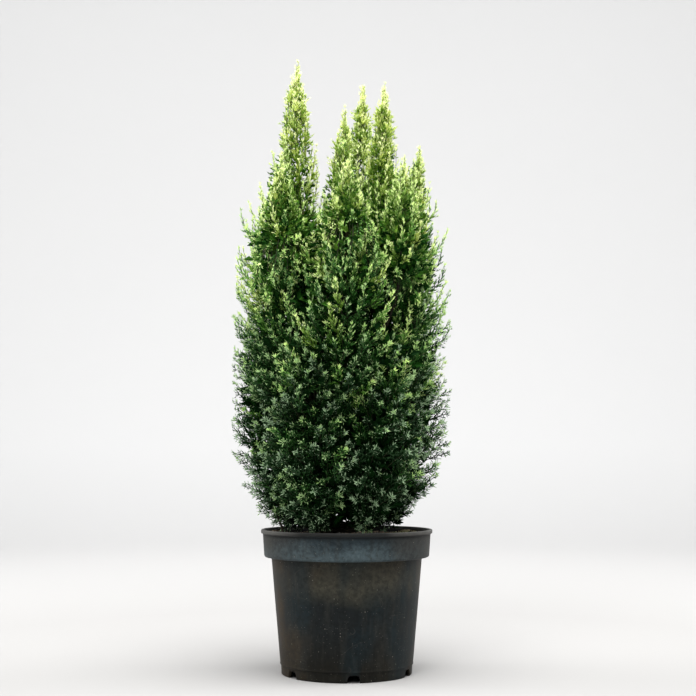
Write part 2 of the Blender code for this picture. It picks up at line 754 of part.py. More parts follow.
def keep_largest_piece(mesh):
    """Drops loose scraps: keeps the largest set of faces joined by edges that only two faces share."""
    shape = bmesh.new()
    shape.from_mesh(mesh)
    left = set(shape.faces)
    pieces = []
    while left:
        stack = [left.pop()]
        piece = set(stack)
        while stack:
            pairs = [edge.link_faces for edge in stack.pop().edges if len(edge.link_faces) == 2]
            joined = {face for pair in pairs for face in pair} & left
            left -= joined
            piece |= joined
            stack += joined
        pieces.append(piece)
    largest = max(pieces, key=len)
    loose = [face for face in shape.faces if face not in largest]
    bmesh.ops.delete(shape, geom=loose, context="FACES")
    shape.to_mesh(mesh)
    shape.free()


def apply_boolean(obj, collection, operation):
    modifier = obj.modifiers.new(operation.lower(), "BOOLEAN")
    modifier.operand_type = "COLLECTION"
    modifier.collection = collection
    modifier.operation = operation
    modifier.solver = "EXACT"
    mesh = evaluated_mesh(obj)
    obj.modifiers.clear()
    obj.data = mesh


def empty_collection(collection):
    for obj in list(collection.objects):
        data = obj.data
        bpy.data.objects.remove(obj, do_unlink=True)
        if data.users == 0 and isinstance(data, bpy.types.Mesh):
            bpy.data.meshes.remove(data)


def as_mesh_object(curve, collection):
    """A closed mesh object in place of a curve object."""
    mesh = evaluated_mesh(curve)
    shape = bmesh.new()
    shape.from_mesh(mesh)
    bmesh.ops.remove_doubles(shape, verts=shape.verts, dist=0.00001)
    bmesh.ops.recalc_face_normals(shape, faces=shape.faces)
    shape.to_mesh(mesh)
    shape.free()
    obj = bpy.data.objects.new(curve.name, mesh)
    collection.objects.link(obj)
    obj.matrix_world = curve.matrix_world
    bpy.data.objects.remove(curve, do_unlink=True)
    return obj


def limbs_near(core, limbs):
    """The limbs whose centreline comes into the core's box."""
    low = Vector([min(v.co[i] for v in core.data.vertices) for i in range(3)])
    high = Vector([max(v.co[i] for v in core.data.vertices) for i in range(3)])
    found = []
    for limb in limbs:
        for first, second, radius in zip(limb.route, limb.route[1:], limb.radii):
            samples = [first.lerp(second, step / SAMPLES_PER_SPAN) for step in range(SAMPLES_PER_SPAN + 1)]
            if any(all(low[i] - radius < p[i] < high[i] + radius for i in range(3)) for p in samples):
                found.append(limb)
                break
    return found


def build_mass(mass, limbs, collection, workshop):
    """Core, cleared of the limbs that pass it, with its stem, twigs and sprays fused on."""
    core = add_object(f"foliage_{mass.name}", mass.core_mesh(), collection, mass.material)
    near = limbs_near(core, limbs)
    if near:
        for limb in near:
            as_mesh_object(limb.curve(workshop, None, LIMB_MARGIN, CUT_OVERRUN), workshop)
        apply_boolean(core, workshop, "DIFFERENCE")
        empty_collection(workshop)
        keep_largest_piece(core.data)
    stem_top = mass.axis(0.5 * (mass.core_low + mass.core_high))
    if mass.bough_height is not None:
        stem = twig_mesh(mass.stem_foot, stem_top, STEM_RADIUS, TWIG_TAPER * STEM_RADIUS)
        add_object("stem", stem, workshop)
    Grower(mass, limbs, workshop).grow()
    apply_boolean(core, workshop, "UNION")
    empty_collection(workshop)
    keep_largest_piece(core.data)
    core.data.materials.clear()
    core.data.materials.append(plain_material(mass.material))


def build_limbs(trunk, masses, soil, collection):
    limbs = [trunk, make_side_stem(soil)]
    for mass in masses:
        if mass.bough_height is not None:
            limbs.append(make_bough(f"bough_{mass.name}", trunk, mass, mass.bough_height))
    for limb in limbs:
        limb.curve(collection, "bark")
    return limbs


def main():
    clear_scene()
    plant = new_collection("lawson_cypress")
    cutters = new_collection("pot_cutters")
    workshop = new_collection("workshop")
    build_pot(plant, cutters)
    root_ball = build_root_ball(plant)
    trunk = make_trunk()
    masses = make_masses(trunk)
    limbs = build_limbs(trunk, masses, root_ball.data, plant)
    for mass in masses:
        build_mass(mass, limbs, plant, workshop)


main()
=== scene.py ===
"""Looks of a potted Lawson cypress: its sprays of scale leaves, twigs, bark, compost and pot.

Metres, +Z up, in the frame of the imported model. The front of the plant faces -Y.
"""

import math

import bmesh
import bpy
import numpy as np
from bpy.props import FloatProperty, FloatVectorProperty, IntProperty, PointerProperty
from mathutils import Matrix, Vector


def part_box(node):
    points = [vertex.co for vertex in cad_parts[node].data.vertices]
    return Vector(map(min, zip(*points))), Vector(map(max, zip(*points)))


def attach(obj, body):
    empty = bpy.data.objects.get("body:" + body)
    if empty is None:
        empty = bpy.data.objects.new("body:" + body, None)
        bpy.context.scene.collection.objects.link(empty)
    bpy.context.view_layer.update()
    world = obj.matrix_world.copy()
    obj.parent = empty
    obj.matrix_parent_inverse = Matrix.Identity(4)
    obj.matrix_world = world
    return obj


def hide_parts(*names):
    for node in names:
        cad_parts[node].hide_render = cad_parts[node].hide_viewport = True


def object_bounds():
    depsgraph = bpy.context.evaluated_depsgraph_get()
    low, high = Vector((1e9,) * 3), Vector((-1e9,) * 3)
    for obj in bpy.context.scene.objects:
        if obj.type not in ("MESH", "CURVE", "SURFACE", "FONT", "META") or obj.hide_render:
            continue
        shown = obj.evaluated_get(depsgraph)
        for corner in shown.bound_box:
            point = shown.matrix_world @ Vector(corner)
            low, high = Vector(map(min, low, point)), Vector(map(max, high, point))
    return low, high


bl_info = {
    "name": "Potted Lawson Cypress",
    "version": (1, 0, 0),
    "blender": (4, 5, 0),
    "location": "View3D > Sidebar > Cypress",
    "description": "Grows the foliage, bark, compost and pot of a potted Lawson cypress",
    "category": "Object",
}

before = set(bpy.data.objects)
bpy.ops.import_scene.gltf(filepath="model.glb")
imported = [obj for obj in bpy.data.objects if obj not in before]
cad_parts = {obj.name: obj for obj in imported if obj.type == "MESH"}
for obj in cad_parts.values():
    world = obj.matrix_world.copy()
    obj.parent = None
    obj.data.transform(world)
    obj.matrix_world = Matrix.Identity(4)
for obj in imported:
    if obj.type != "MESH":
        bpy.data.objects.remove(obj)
CAD_LOW, CAD_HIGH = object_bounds()
NODES = sorted(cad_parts)
UP = np.array([0.0, 0.0, 1.0])
TINY = 1e-12
SMALL = 1e-6

# Pot, read from its node, with the source's own sizes for what the box doesn't tell
POT_LOW, POT_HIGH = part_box("pot")
RIM_RADIUS = 0.5 * (POT_HIGH[1] - POT_LOW[1])
RIM_Z = POT_HIGH[2]
POT_WALL = 0.0022
LIP_WIDTH = 0.0045
LIP_HEIGHT = 0.0062
COLLAR_TOP_RADIUS = 0.1372
COLLAR_FOOT_RADIUS = 0.1342
COLLAR_FOOT_Z = 0.186
BODY_TOP_RADIUS = 0.1225
BODY_FOOT_RADIUS = 0.1076
LEDGE_Z = 0.0170
FOOT_RADIUS = 0.1060
FOOT_WALL = 0.0050
FLOOR_UNDERSIDE_Z = 0.0130
FLOOR_TOP_Z = 0.0155
PAD_RADIUS = 0.0300
NOTCH_COUNT = 6
NOTCH_TURN = math.radians(-84.0)
NOTCH_WIDTH = 0.0200
NOTCH_HEIGHT = 0.0115
NOTCH_SHOULDER = 6
PROFILE_STEP = 0.005
ARC_POINTS = 5
PRESSED_TURN = 0.6
POLE_GAP = 0.00001

# Compost
SOIL_Z = 0.2185
SOIL_LUMP = 0.0018
LUMP_WAVES = (61.0, 53.0, 97.0)
LUMP_STARTS = (2.0, -1.0)
CROSS_LUMPS = 0.6
# Each mound: its place, height and width. The first is the source's own
MOUNDS = (
    (-0.1040, -0.0200, 0.0065, 0.020),
    (-0.1080, 0.0150, 0.0065, 0.022),
    (0.1000, 0.0450, 0.0050, 0.028),
)
SOIL_FLAT_RADIUS = 0.040
SOIL_FLAT_EDGE = 0.025
SOIL_SIDE_GAP = 0.0012
SOIL_SIDES = 260
SOIL_RING_POWER = 0.8
# Sines of the compost's roughness: their share, wavelength and count
SOIL_ROUGHNESS = ((0.55, 0.011, 24), (0.35, 0.0045, 40))
ROUGH_HEIGHT = 0.0011
SMOOTH_MIDDLE = 0.004
SOIL_SINK = 0.0008
WAVE_SPREAD = (0.6, 1.6)
SCATTER_RADIUS = 0.130
SCATTER_HEIGHTS = (-0.0006, 0.0009)
BIT_KNOCKS = (0.6, 1.3)
BIT_SIZES = (0.0008, 0.0032)
BIT_SHAPE = (1.0, 0.55, 0.35)
DARK_BITS = 0.55
HEAPED_BITS = 0.2
HEAP_SPREADS = (0.020, 0.024)
MOSS_SIZES = (0.0007, 0.0022)
MOSS_SHAPE = (1.0, 0.7, 0.6)
MOSS_PLACE = (0.100, 0.035)
MOSS_SPREAD = 0.018

# Limbs
CLEAR = 0.00035
SQUARE_END = 0.0030
TRUNK_ROUTE = (
    (-0.0300, 0.0020, SOIL_Z + CLEAR + SQUARE_END),
    (-0.0298, 0.0020, 0.2340),
    (-0.0285, 0.0030, 0.2700),
    (-0.0280, 0.0050, 0.3600),
    (-0.0350, 0.0060, 0.4800),
    (-0.0510, 0.0040, 0.6000),
    (-0.0740, 0.0000, 0.7400),
    (-0.0840, -0.0030, 0.8700),
    (-0.0840, -0.0040, 0.9500),
)
TRUNK_LINE_STEPS = 160
TRUNK_FLARE_RADIUS = 0.0175
TRUNK_RADIUS = 0.0110
TRUNK_TIP_RADIUS = 0.0012
TRUNK_FLARE_HEIGHT = 0.012
TRUNK_TAPER = 0.9
BOUGH_FOOT_RADIUS = 0.0046
BOUGH_TIP_RADIUS = 0.0024
BOUGH_TURN = 0.020
BOUGH_TURN_SHARE = 0.35
BOUGH_RISE = 0.30
LONG_BOUGH = 0.2
SHORT_BOUGH_SIZE = 0.75
SIDE_STEM_FOOT = (-0.1040, -0.0200)
SIDE_STEM_TIP = (-0.1180, -0.0300, 0.2680)
SIDE_STEM_FOOT_RADIUS = 0.0021
SIDE_STEM_TIP_RADIUS = 0.0013
SIDE_STEM_TURN = 0.010
SIDE_STEM_RINGS = 24
SIDE_STEM_SIDES = 12

# Bark relief: fissures round each limb and their depth, and each wave's height, turns round and waves along
TRUNK_FISSURES = (9.0, 0.12)
BOUGH_FISSURES = (5.0, 0.12)
SIDE_STEM_FISSURES = (3.0, 0.08)
FISSURE_SHIFTS = ((0.9, 0.0, 70.0), (0.5, 0.0, 190.0), (0.6, 2.0, 0.0))
GATE_MIDDLE = 0.6
GATE_WAVE = (0.4, 3.0, 120.0)
FLAKE_WAVES = ((0.25, 5.0, 310.0), (1.0, 3.0, -240.0))
RIDGE_SHARPNESS = 3
LIMB_GUIDE = (0.93, 0.33, 0.15)
TWIG_GUIDE = (0.31, 0.22, 0.92)

# Crown
CROWN_X = -0.010
TIER_COUNT = 6
DIRECTIONS = {
    -90: "front", -45: "front_right", 0: "right", 45: "back_right",
    90: "back", 135: "back_left", 180: "left", 225: "front_left",
}
# Each tier: turn, foot radius and height, top radius and height, girth, height of its first bough
LOW_TIER = (0.58, 0.066, 0.226, 0.116, 0.570, 0.086, 0.229)
MIDDLE_TIER = (0.08, 0.096, 0.400, 0.102, 0.830, 0.087, 0.335)
BOUGH_HEIGHTS = 3
BOUGH_HEIGHT_STEP = 0.006
# Each peak: name, foot, top, girth, height where its bough leaves the trunk
PEAKS = (
    ("left", (-0.1040, 0.0000, 0.560), (-0.0830, -0.004, 1.016), 0.067, None),
    ("inner_left", (-0.0220, -0.0440, 0.560), (-0.0030, -0.040, 0.924), 0.054, 0.500),
    ("centre", (0.0040, 0.0200, 0.550), (0.0280, 0.022, 0.984), 0.056, 0.530),
    ("right", (0.0480, -0.0300, 0.560), (0.0625, -0.020, 0.976), 0.056, 0.470),
    ("far_right", (0.0920, 0.0120, 0.580), (0.1225, 0.010, 0.875), 0.058, 0.440),
    ("front_left", (-0.0980, -0.0780, 0.580), (-0.1060, -0.084, 0.842), 0.064, 0.455),
    ("front", (-0.0020, -0.1040, 0.580), (0.0040, -0.108, 0.832), 0.064, 0.415),
    ("front_right", (0.0820, -0.0820, 0.580), (0.0920, -0.088, 0.834), 0.064, 0.425),
    ("back_left", (-0.0920, 0.0850, 0.580), (-0.1000, 0.088, 0.856), 0.064, 0.485),
    ("back", (-0.0100, 0.1020, 0.580), (-0.0080, 0.106, 0.868), 0.064, 0.400),
    ("back_right", (0.0640, 0.0850, 0.580), (0.0700, 0.088, 0.905), 0.064, 0.430),
)
ROUND_SHOULDER = 0.50
FLAME_SHOULDER = 0.38
FULLNESS = 2.5
FLAME_FULLNESS = 1.35
CORE_FOOT = 0.08
CORE_TOP = 0.88
CORE_SHARE_STEPS = 50
CELL_CENTRE = 0.42
CELL_FLATTEN = 0.28
CELL_WEIGHT = 0.40
AXIS_ROOM = 0.0060
TRUNK_KEEP_OUT = 0.026
PEAK_KEEP_OUT = 0.014
STEM_OUT = 0.0060
STEM_RADIUS = 0.0024
STEM_TAPER = 0.35
STEM_RINGS = 14
STEM_SIDES = 6

# How upright growth is, and the towers and furrows of the crown
CROWN_FOOT_Z = 0.230
PLUME_LOW_Z = 0.278
PLUME_RISE = 0.48
CROWN_TOWERS = 44
PEAK_TOWERS = 15
TOWER_HEIGHT = 0.080
TOWER_SWAY = 0.25
TOWER_SWAY_WAVES = 31.0
TOWER_NARROWING = 0.75
TOWER_POWER = 1.5
TOWER_EDGE = 0.3
FURROW_DEPTH = 0.20

# Sprays, by the source's rule
GOLDEN_SHARE = 137.508 / 360.0
GOLDEN_TURN = 2.0 * math.pi * GOLDEN_SHARE
TIER_SECTOR = math.radians(140.0)
FIRST_TWIG = 0.6
LAST_TWIG = 0.4
SPRAY_RISE = 0.054
RISE_SPREAD = (0.8, 1.3)
SPRAY_ROOM = -0.012
TWIG_END_INSET = 0.01
TIP_ROOM = 0.004
BOX_ROOM = 0.002
FOOT_TUCK = 0.25
FOOT_TUCK_RIGHT = 0.6
FOOT_TUCK_HEIGHT = 0.09
USUAL_PEAK_HEIGHT = 0.335
ROUND_REACH = (0.90, 1.18)
POINTED_REACH = (0.84, 1.12)
DEEP_SHARE = 0.35
DEEP_REACH = (0.62, 0.88)
LEAST_OPEN = 0.45
LEAST_SPAN = 0.022
CAP_SHARE = 0.55
CAP_LEAST = 0.006

# Curve and vigour of a spray, with painted shade on deep sprays and those in furrows and painted light high
# on the towers. A pair is for level growth low down and for upright growth high up
END_PITCH = (10.0, 84.0)
PITCH_WAVER = (0.20, 0.10)
SIDE_WAVER = 0.30
START_LIFT = 0.45
START_WAVER = 0.15
START_PULL = (0.35, 0.50)
LEVEL_PULL = 0.38
CLIMB_PULL = 0.95
LEAST_CLIMB = 0.02
SPRAY_SIZE = (1.0, 0.75)
LEAFY_SHARE = (0.84, 1.20)
LEAFY_SPREAD = (0.85, 1.2)
VIGOUR = (0.05, 0.14)
# Painted shade taken off deep sprays and sprays in furrows, and painted light added high on each tower
DEEP_SHADE = 0.25
FURROW_SHADE = 0.35
TOWER_TOP_LIGHT = 0.25
# Tint rises with height: partly the leaves' own colour, paler at the top, and partly painted light from
# above
TINT_POWER = 1.35
TINT_WAVER = 0.08
BRIGHT_SHARE = 0.16
BRIGHT_GAIN = 0.22

# Leaders: how far aside and how far below the top each shoot ends
LEADER_SHOOTS = (
    (0.0014, 0.0), (-0.0014, 0.014), (0.0050, 0.022), (-0.0060, 0.030), (0.0080, 0.038),
    (-0.0090, 0.046), (0.0100, 0.056), (-0.0110, 0.064), (0.0125, 0.074), (-0.0130, 0.086),
)
LEADER_TIP_ROOM = 0.0085
LEADER_RISE = 0.045
LEADER_WAVER = 0.001
LEADER_PULLS = (0.35, 0.3)
LEADER_VIGOUR = 0.16
# Least and slope by drop of a leader's shoots, and the most they come to
LEADER_CAP = (0.0040, 0.11)
LEADER_SIZE = (0.5, 7.0, 0.86)
LEADER_LEAFY_SHARE = 0.95
LEADER_LEAFY_MOST = 0.085
LEADER_TINT_GAIN = 0.04

# Shoots all round a spray's twig
SHOOTS = 14
TWIG_CURVE = 1.08
FIRST_SHOOT = (0.06, 0.7)
LAST_SHOOT = 0.985
SHOOT_SHIFT = 0.03
SHOOT_ROLL = 0.3
SHOOT_LEAN = (50.0, 33.0)
TOP_LEAN_LOSS = 0.5
SHOOT_LEAN_WAVER = 0.12
SHOOT_LENGTH = (0.26, 0.15)
SHOOT_TAPER = 0.7
SHOOT_LEAST = 0.05
SHOOT_SPREAD = (0.8, 1.2)
TWIG_RINGS = 6
TWIG_END = 0.97
TWIG_TAPER = 0.62

# Each side finger of a shoot: place along it, lean and roll; the last shoot of a spray ends in a star
FERN_FINGERS = ((0.42, 0.72, 0.0), (0.64, 0.66, math.pi), (0.86, 0.58, 0.0))
WHORL_FINGERS = ((0.66, 0.84, 0.0), (0.80, 0.84, 2.1), (0.94, 0.80, 4.2))
FERN_FROM = (0.25, 0.65)
STAR_PLACE = 0.88
STAR_LEAN = math.radians(47.0)
STAR_SIZE = 4
STARRY = 0.34
SHOOT_TWIST = 0.8
FINGER_LEAN = (1.15, 0.80)
FINGER_LEAN_WAVER = 0.18
FINGER_ROLL = 0.3
FINGER_LIFT = (0.12, 0.37)
FINGER_SIZE = (1.1, 0.9)
FINGER_SPREAD = (0.78, 1.2)
WHORL_SIZE = 0.86
SHEATH_SIZE = 1.15
FINGER_TINT_WAVER = 0.025

# How far up its spray a finger counts: what it gains or loses there, and where each shade starts
# The shade a leaf takes is partly painted light: these gains and losses make stars, ends and upright growth
# paler, side fingers and sheaths darker
SHEATH_LOSS = 0.5
UPRIGHT_GAIN = 0.36
UP_START = -0.09
UP_WAVER = 0.10
STAR_GAIN = 0.34
END_GAIN = 0.16
SIDE_GAIN = -0.16
INNER_BELOW = 0.38
TIP_ABOVE = 0.60
ALL_TIP_ABOVE = 1.06
FIRST_TIP_LEAF = 2

# Each leaf of a finger: place along it, spread, roll, length and width
FINGER_LEAVES = np.array((
    (0.00, 0.28, 0.2, 0.56, 0.24),
    (0.18, 0.28, 3.3, 0.56, 0.24),
    (0.46, 0.06, 1.8, 0.57, 0.20),
))
OLD_LEAVES = np.array((
    (0.00, 0.50, 0.2, 0.62, 0.36),
    (0.10, 0.50, 2.3, 0.62, 0.36),
    (0.35, 0.20, 4.4, 0.65, 0.36),
))
LEAF_SHOULDER = 0.4
LEAF_FOLD = 0.25
KITE_FACES = np.array([(0, 1, 2), (0, 2, 3)])
LEAF_RIM_ROOM = 0.010
LEAF_SOIL_ROOM = 0.006
LEAF_OVER_RIM = 0.003
LEAF_TRUNK_ROOM = 0.001

# Old growth inside the crown
OLD_FOOT = 0.06
OLD_LEAST_SWELL = 0.018
OLD_POWER = 1.35
OLD_ROOM = -0.014
OLD_WALLED = 0.8
OLD_REACH = (0.05, 0.62)
OLD_WALLED_REACH = 0.98
OLD_WAVER = 0.6
OLD_LIFT = (0.0, 0.0, 0.8)
OLD_PLUME_DROP = 0.10
OLD_LENGTHS = (0.018, 0.034)
OLD_LENGTH_CAP = 0.40
OLD_LENGTH_LOSS = 0.45
# Old growth is darkened as painted shade inside the crown, less so in the upper crown
OLD_SHADE_LOSS = 0.15
OLD_SHADE_BACK = 0.8

# Colours
TIERS = ("low", "middle", "peak")
TINTS = ("bottle", "deep", "moss", "mid", "fresh", "lime", "gold")
# Inner colours are partly painted shade inside the crown; tip colours are partly pale new growth and partly
# painted highlight
SHADES = ("inner", "blade", "tip")
# Colour levels from dark at the foot to pale at the top: partly the leaves' own colour and partly painted
# light from above
LEVELS = ("low", "middle", "upper", "high")
LEVEL_PLACES = (0.0, 0.35, 0.52, 1.08)
LEAF_ROUGHNESS = (0.75, 0.60, 0.48)
LEAF_GLOSS = (0.03, 0.10, 0.18)
BARK_STRETCH = (260.0, 260.0, 38.0)
YOUNG_BARK_FROM = 0.66
YOUNG_BARK_TO = 0.82
RAMP_SCALE = 4.0
RAMP_SHIFT = 0.5
BLACK_PORE = (0.002, 0.003, 0.003)
# Painted shadow under the lip, and painted shade on the lip's face
LIP_SHADOW = (0.002, 0.002, 0.002)
SHADED_LIP = (0.003, 0.004, 0.004)
WET_COMPOST = (0.006, 0.005, 0.004)
# Specks of the pot: their scale and how rare they are
SPECKS = ((430.0, 0.86), (210.0, 0.95))

# Stage
STAGE_MIDDLE = np.array([0.0, 0.0, 0.5])
BACKDROP_AIM = np.array([0.0, 6.0, 1.6])
WALL_HEIGHT = 5.0
WALL_CURVE = 2.6
FLOOR_STEP = 0.25
FLOOR_ARC_POINTS = 24
FLOOR_SIDES = 128
FLOOR_COLOUR_PLACES = (0.15, 0.85)
# Each light: name, which power, place, aim and size
LIGHTS = (
    ("overhead_light", "overhead_power", (0.1, -0.5, 2.7), STAGE_MIDDLE, 1.7),
    ("front_light", "front_power", (-0.9, -2.7, 2.2), STAGE_MIDDLE, 1.5),
    ("left_light", "side_power", (-2.3, 0.4, 1.7), STAGE_MIDDLE, 1.5),
    ("right_light", "side_power", (2.3, 0.4, 1.7), STAGE_MIDDLE, 1.5),
    ("backdrop_light", "backdrop_power", (0.0, 1.2, 3.4), BACKDROP_AIM, 1.8),
)
SENSOR_WIDTH = 36.0
FAR_CLIP = 50.0


# Arrays


def unit(vectors):
    """Vectors divided by their lengths."""
    return vectors / np.maximum(np.linalg.norm(vectors, axis=-1, keepdims=True), TINY)


def seeded(name):
    """Random numbers that depend only on a name."""
    return np.random.default_rng([ord(letter) for letter in name])


def between(pair, share):
    """From the pair's first value, at a share of nothing, evenly to its second, at a share of one."""
    return pair[0] + (pair[1] - pair[0]) * share


def across_from(way, guide):
    """Unit vectors square to way, as near to guide as they can be."""
    return unit(guide - np.sum(guide * way, axis=-1, keepdims=True) * way)


def turned_about(way, guide, turn):
    """Unit vectors square to way: as near to guide as they can be, then turned about way."""
    side = across_from(way, np.broadcast_to(guide, way.shape))
    return np.cos(turn)[..., None] * side + np.sin(turn)[..., None] * np.cross(way, side)


def ring_angles(sides):
    """Angles of the sides of a ring, as a row."""
    return np.linspace(0.0, 2.0 * math.pi, sides, endpoint=False)[None, :]


def smooth_step(value):
    """Three t squared less two t cubed, with t held from 0 to 1."""
    value = np.clip(value, 0.0, 1.0)
    return value * value * (3.0 - 2.0 * value)


def grid_faces(rows, columns):
    """Quads between rows of points, each row closed into a ring."""
    row = np.arange(rows - 1)[:, None] * columns
    column = np.arange(columns)[None, :]
    after = (column + 1) % columns
    corners = (row + column, row + after, row + columns + after, row + columns + column)
    return np.stack(corners, axis=-1).reshape(-1, 4)


def as_triangles(quads):
    """Each quad as two triangles."""
    return np.concatenate([quads[:, [0, 1, 2]], quads[:, [0, 2, 3]]])


def add_mesh(name, points, faces, smooth):
    """A mesh object of arrays of points and of faces with equal corners, at the origin."""
    mesh = bpy.data.meshes.new(name)
    points = np.ascontiguousarray(points, dtype=np.float32).reshape(-1, 3)
    faces = np.ascontiguousarray(faces, dtype=np.int32)
    count, corners = faces.shape
    mesh.vertices.add(len(points))
    mesh.vertices.foreach_set("co", points.ravel())
    mesh.loops.add(count * corners)
    mesh.loops.foreach_set("vertex_index", faces.ravel())
    mesh.polygons.add(count)
    mesh.polygons.foreach_set("loop_start", np.arange(0, count * corners, corners, dtype=np.int32))
    mesh.polygons.foreach_set("use_smooth", np.full(count, smooth))
    mesh.update(calc_edges=True)
    obj = bpy.data.objects.new(name, mesh)
    bpy.context.scene.collection.objects.link(obj)
    return obj


def add_rings(name, surface):
    """A smooth mesh object of rings of points."""
    rings, sides, _ = surface.shape
    return add_mesh(name, surface.reshape(-1, 3), grid_faces(rings, sides), True)


def place_piece(obj, material, slot, *nodes):
    """Gives a piece its material and body, and hides the nodes it stands for. The slot is not used."""
    obj.data.materials.append(material)
    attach(obj, "root")
    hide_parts(*nodes)


def nodes_named(start):
    """The names of the nodes that start with given letters."""
    return [name for name in NODES if name.startswith(start)]


# Limbs, by the source's rule


def smooth_route(points, steps):
    """Catmull-Rom curve: each span is a cubic in t whose ends and slopes come from four points in a row."""
    points = np.array(points)
    padded = np.concatenate([[2 * points[0] - points[1]], points, [2 * points[-1] - points[-2]]])
    place = np.linspace(0.0, len(points) - 1, steps + 1)
    span = np.minimum(place.astype(int), len(points) - 2)
    t = (place - span)[:, None]
    a, b, c, d = (padded[span + offset] for offset in range(4))
    return 0.5 * (2 * b + (c - a) * t + (2 * a - 5 * b + 4 * c - d) * t ** 2
                  + (3 * b - a - 3 * c + d) * t ** 3)


def bezier(handles, t):
    """Cubic curves: handles, n by 4 by 3, weighed by the Bernstein cubics of t, n by m."""
    s = 1.0 - t
    weights = np.stack([s ** 3, 3 * s * s * t, 3 * s * t * t, t ** 3], axis=-1)
    return weights @ handles


def bezier_way(handles, t):
    """Unit slopes of the cubic curves: the differences of the handles weighed by the Bernstein squares."""
    s = 1.0 - t
    weights = np.stack([s * s, 2 * s * t, t * t], axis=-1)
    return unit(weights @ np.diff(handles, axis=1))


def limb_route(start, start_way, start_pull, end, end_way, end_pull, steps):
    """A cubic curve between two short straight ends, so the limb starts and ends square."""
    first = start + SQUARE_END * start_way
    last = end - SQUARE_END * end_way
    handles = np.array([[first, first + start_pull * start_way, last - end_pull * end_way, last]])
    curve = bezier(handles, np.linspace(0.0, 1.0, steps + 1)[None])[0]
    return np.concatenate([[start], curve, [end]])


def trunk_radius(height):
    """A taper that falls by a power of the share of height, and a flare that fades up from the foot."""
    low = SOIL_Z + CLEAR
    share = np.clip((height - low) / (TRUNK_ROUTE[-1][2] - low), 0.0, 1.0)
    flare = (TRUNK_FLARE_RADIUS - TRUNK_RADIUS) * np.exp(-(height - low) / TRUNK_FLARE_HEIGHT)
    taper = (TRUNK_RADIUS - TRUNK_TIP_RADIUS) * (1.0 - share) ** TRUNK_TAPER
    return TRUNK_TIP_RADIUS + taper + flare


def trunk_route(steps):
    """The trunk's route, with the square end at its foot."""
    route = smooth_route(TRUNK_ROUTE, steps)
    return np.concatenate([[route[0] - SQUARE_END * UP], route])


TRUNK_LINE = trunk_route(TRUNK_LINE_STEPS)


def trunk_at(height):
    """Centre of the trunk at heights, read from its route."""
    return np.stack([np.interp(height, TRUNK_LINE[:, 2], TRUNK_LINE[:, i]) for i in range(3)], axis=-1)


class Mass:
    """One plume of the crown: a space round a straight axis, as in the source."""

    def __init__(self, name, foot, top, girth, pointed, bough_height):
        self.name = name
        self.foot = np.array(foot)
        self.top = np.array(top)
        self.girth = girth
        self.pointed = pointed
        self.bough_height = bough_height
        self.facing = math.atan2(foot[1], foot[0] - CROWN_X)
        self.sector = 2.0 * math.pi if pointed else TIER_SECTOR
        self.shoulder = FLAME_SHOULDER if pointed else ROUND_SHOULDER
        self.height = np.linalg.norm(self.top - self.foot)

    def axis(self, share):
        """Points of the straight axis at shares of its height."""
        return self.foot + np.asarray(share)[..., None] * (self.top - self.foot)

    def swell(self, share):
        """Half width: a superellipse up to the shoulder, then a superellipse or a bulging cone."""
        share = np.clip(share, 0.0, 1.0)
        below = np.clip(1.0 - share / self.shoulder, 0.0, 1.0)
        above = np.clip((share - self.shoulder) / (1.0 - self.shoulder), 0.0, 1.0)
        low = (1.0 - below ** FULLNESS) ** (1.0 / FULLNESS)
        if self.pointed:
            high = 1.0 - above ** FLAME_FULLNESS
        else:
            high = (1.0 - above ** FULLNESS) ** (1.0 / FULLNESS)
        return self.girth * np.where(share < self.shoulder, low, high)

    def set_walls(self, masses):
        """Flat walls where weighted, flattened distances to two centres are equal, and by the trunk."""
        squash = np.array([1.0, 1.0, CELL_FLATTEN ** 2])
        mine = self.axis(CELL_CENTRE)
        normals, offsets = [], []
        for other in masses:
            if other is self:
                continue
            its = other.axis(CELL_CENTRE)
            normal = squash * (its - mine)
            weight = CELL_WEIGHT * (self.girth ** 2 - other.girth ** 2)
            offset = 0.5 * (np.sum(squash * its ** 2) - np.sum(squash * mine ** 2) + weight)
            normals.append(normal / np.linalg.norm(normal))
            offsets.append(offset / np.linalg.norm(normal))
        if self.bough_height is not None:
            normal, offset = self.trunk_wall()
            normals.append(normal)
            offsets.append(offset)
        self.normals = np.array(normals)
        self.offsets = np.array(offsets)

    def trunk_wall(self):
        """Direction and place of the wall that keeps the mass off the trunk."""
        low = trunk_at(self.foot[2])
        high = trunk_at(min(self.top[2], TRUNK_ROUTE[-1][2]))
        along = unit(high - low)
        centre = self.axis(CELL_CENTRE)
        normal = 0.5 * (low + high) - centre
        normal = unit(normal - normal @ along * along)
        reach = min(normal @ point for point in (low, trunk_at(centre[2]), high))
        return normal, reach - (PEAK_KEEP_OUT if self.pointed else TRUNK_KEEP_OUT)

    def room(self, points):
        """How far points are inside the nearest wall."""
        return np.min(self.offsets - points @ self.normals.T, axis=-1)

    def reach(self, start, way, most, gap):
        """How far straight ways go before a wall, and at most a given distance."""
        closing = way @ self.normals.T
        room = self.offsets - gap - start @ self.normals.T
        limits = np.where(closing > SMALL, room / np.maximum(closing, SMALL), np.inf)
        return np.maximum(np.minimum(np.min(limits, axis=-1), most), 0.0)

    def plan_stem(self):
        """Sets the part of the axis that has room for a stem, and where the stem starts."""
        shares = np.linspace(CORE_FOOT, CORE_TOP, CORE_SHARE_STEPS + 1)
        within = shares[self.room(self.axis(shares)) > AXIS_ROOM]
        self.core_low, self.core_high = within.min(), within.max()
        low_end = self.axis(self.core_low)
        self.stem_way = unit(self.top - low_end)
        self.stem_foot = low_end - self.stem_way * STEM_OUT

    def stem_at(self, share):
        """Where twigs leave: the stem, or the trunk where it runs up through the mass."""
        points = self.axis(share)
        if self.bough_height is None:
            within = points[:, 2] < TRUNK_ROUTE[-1][2]
            points = np.where(within[:, None], trunk_at(points[:, 2]), points)
        return points


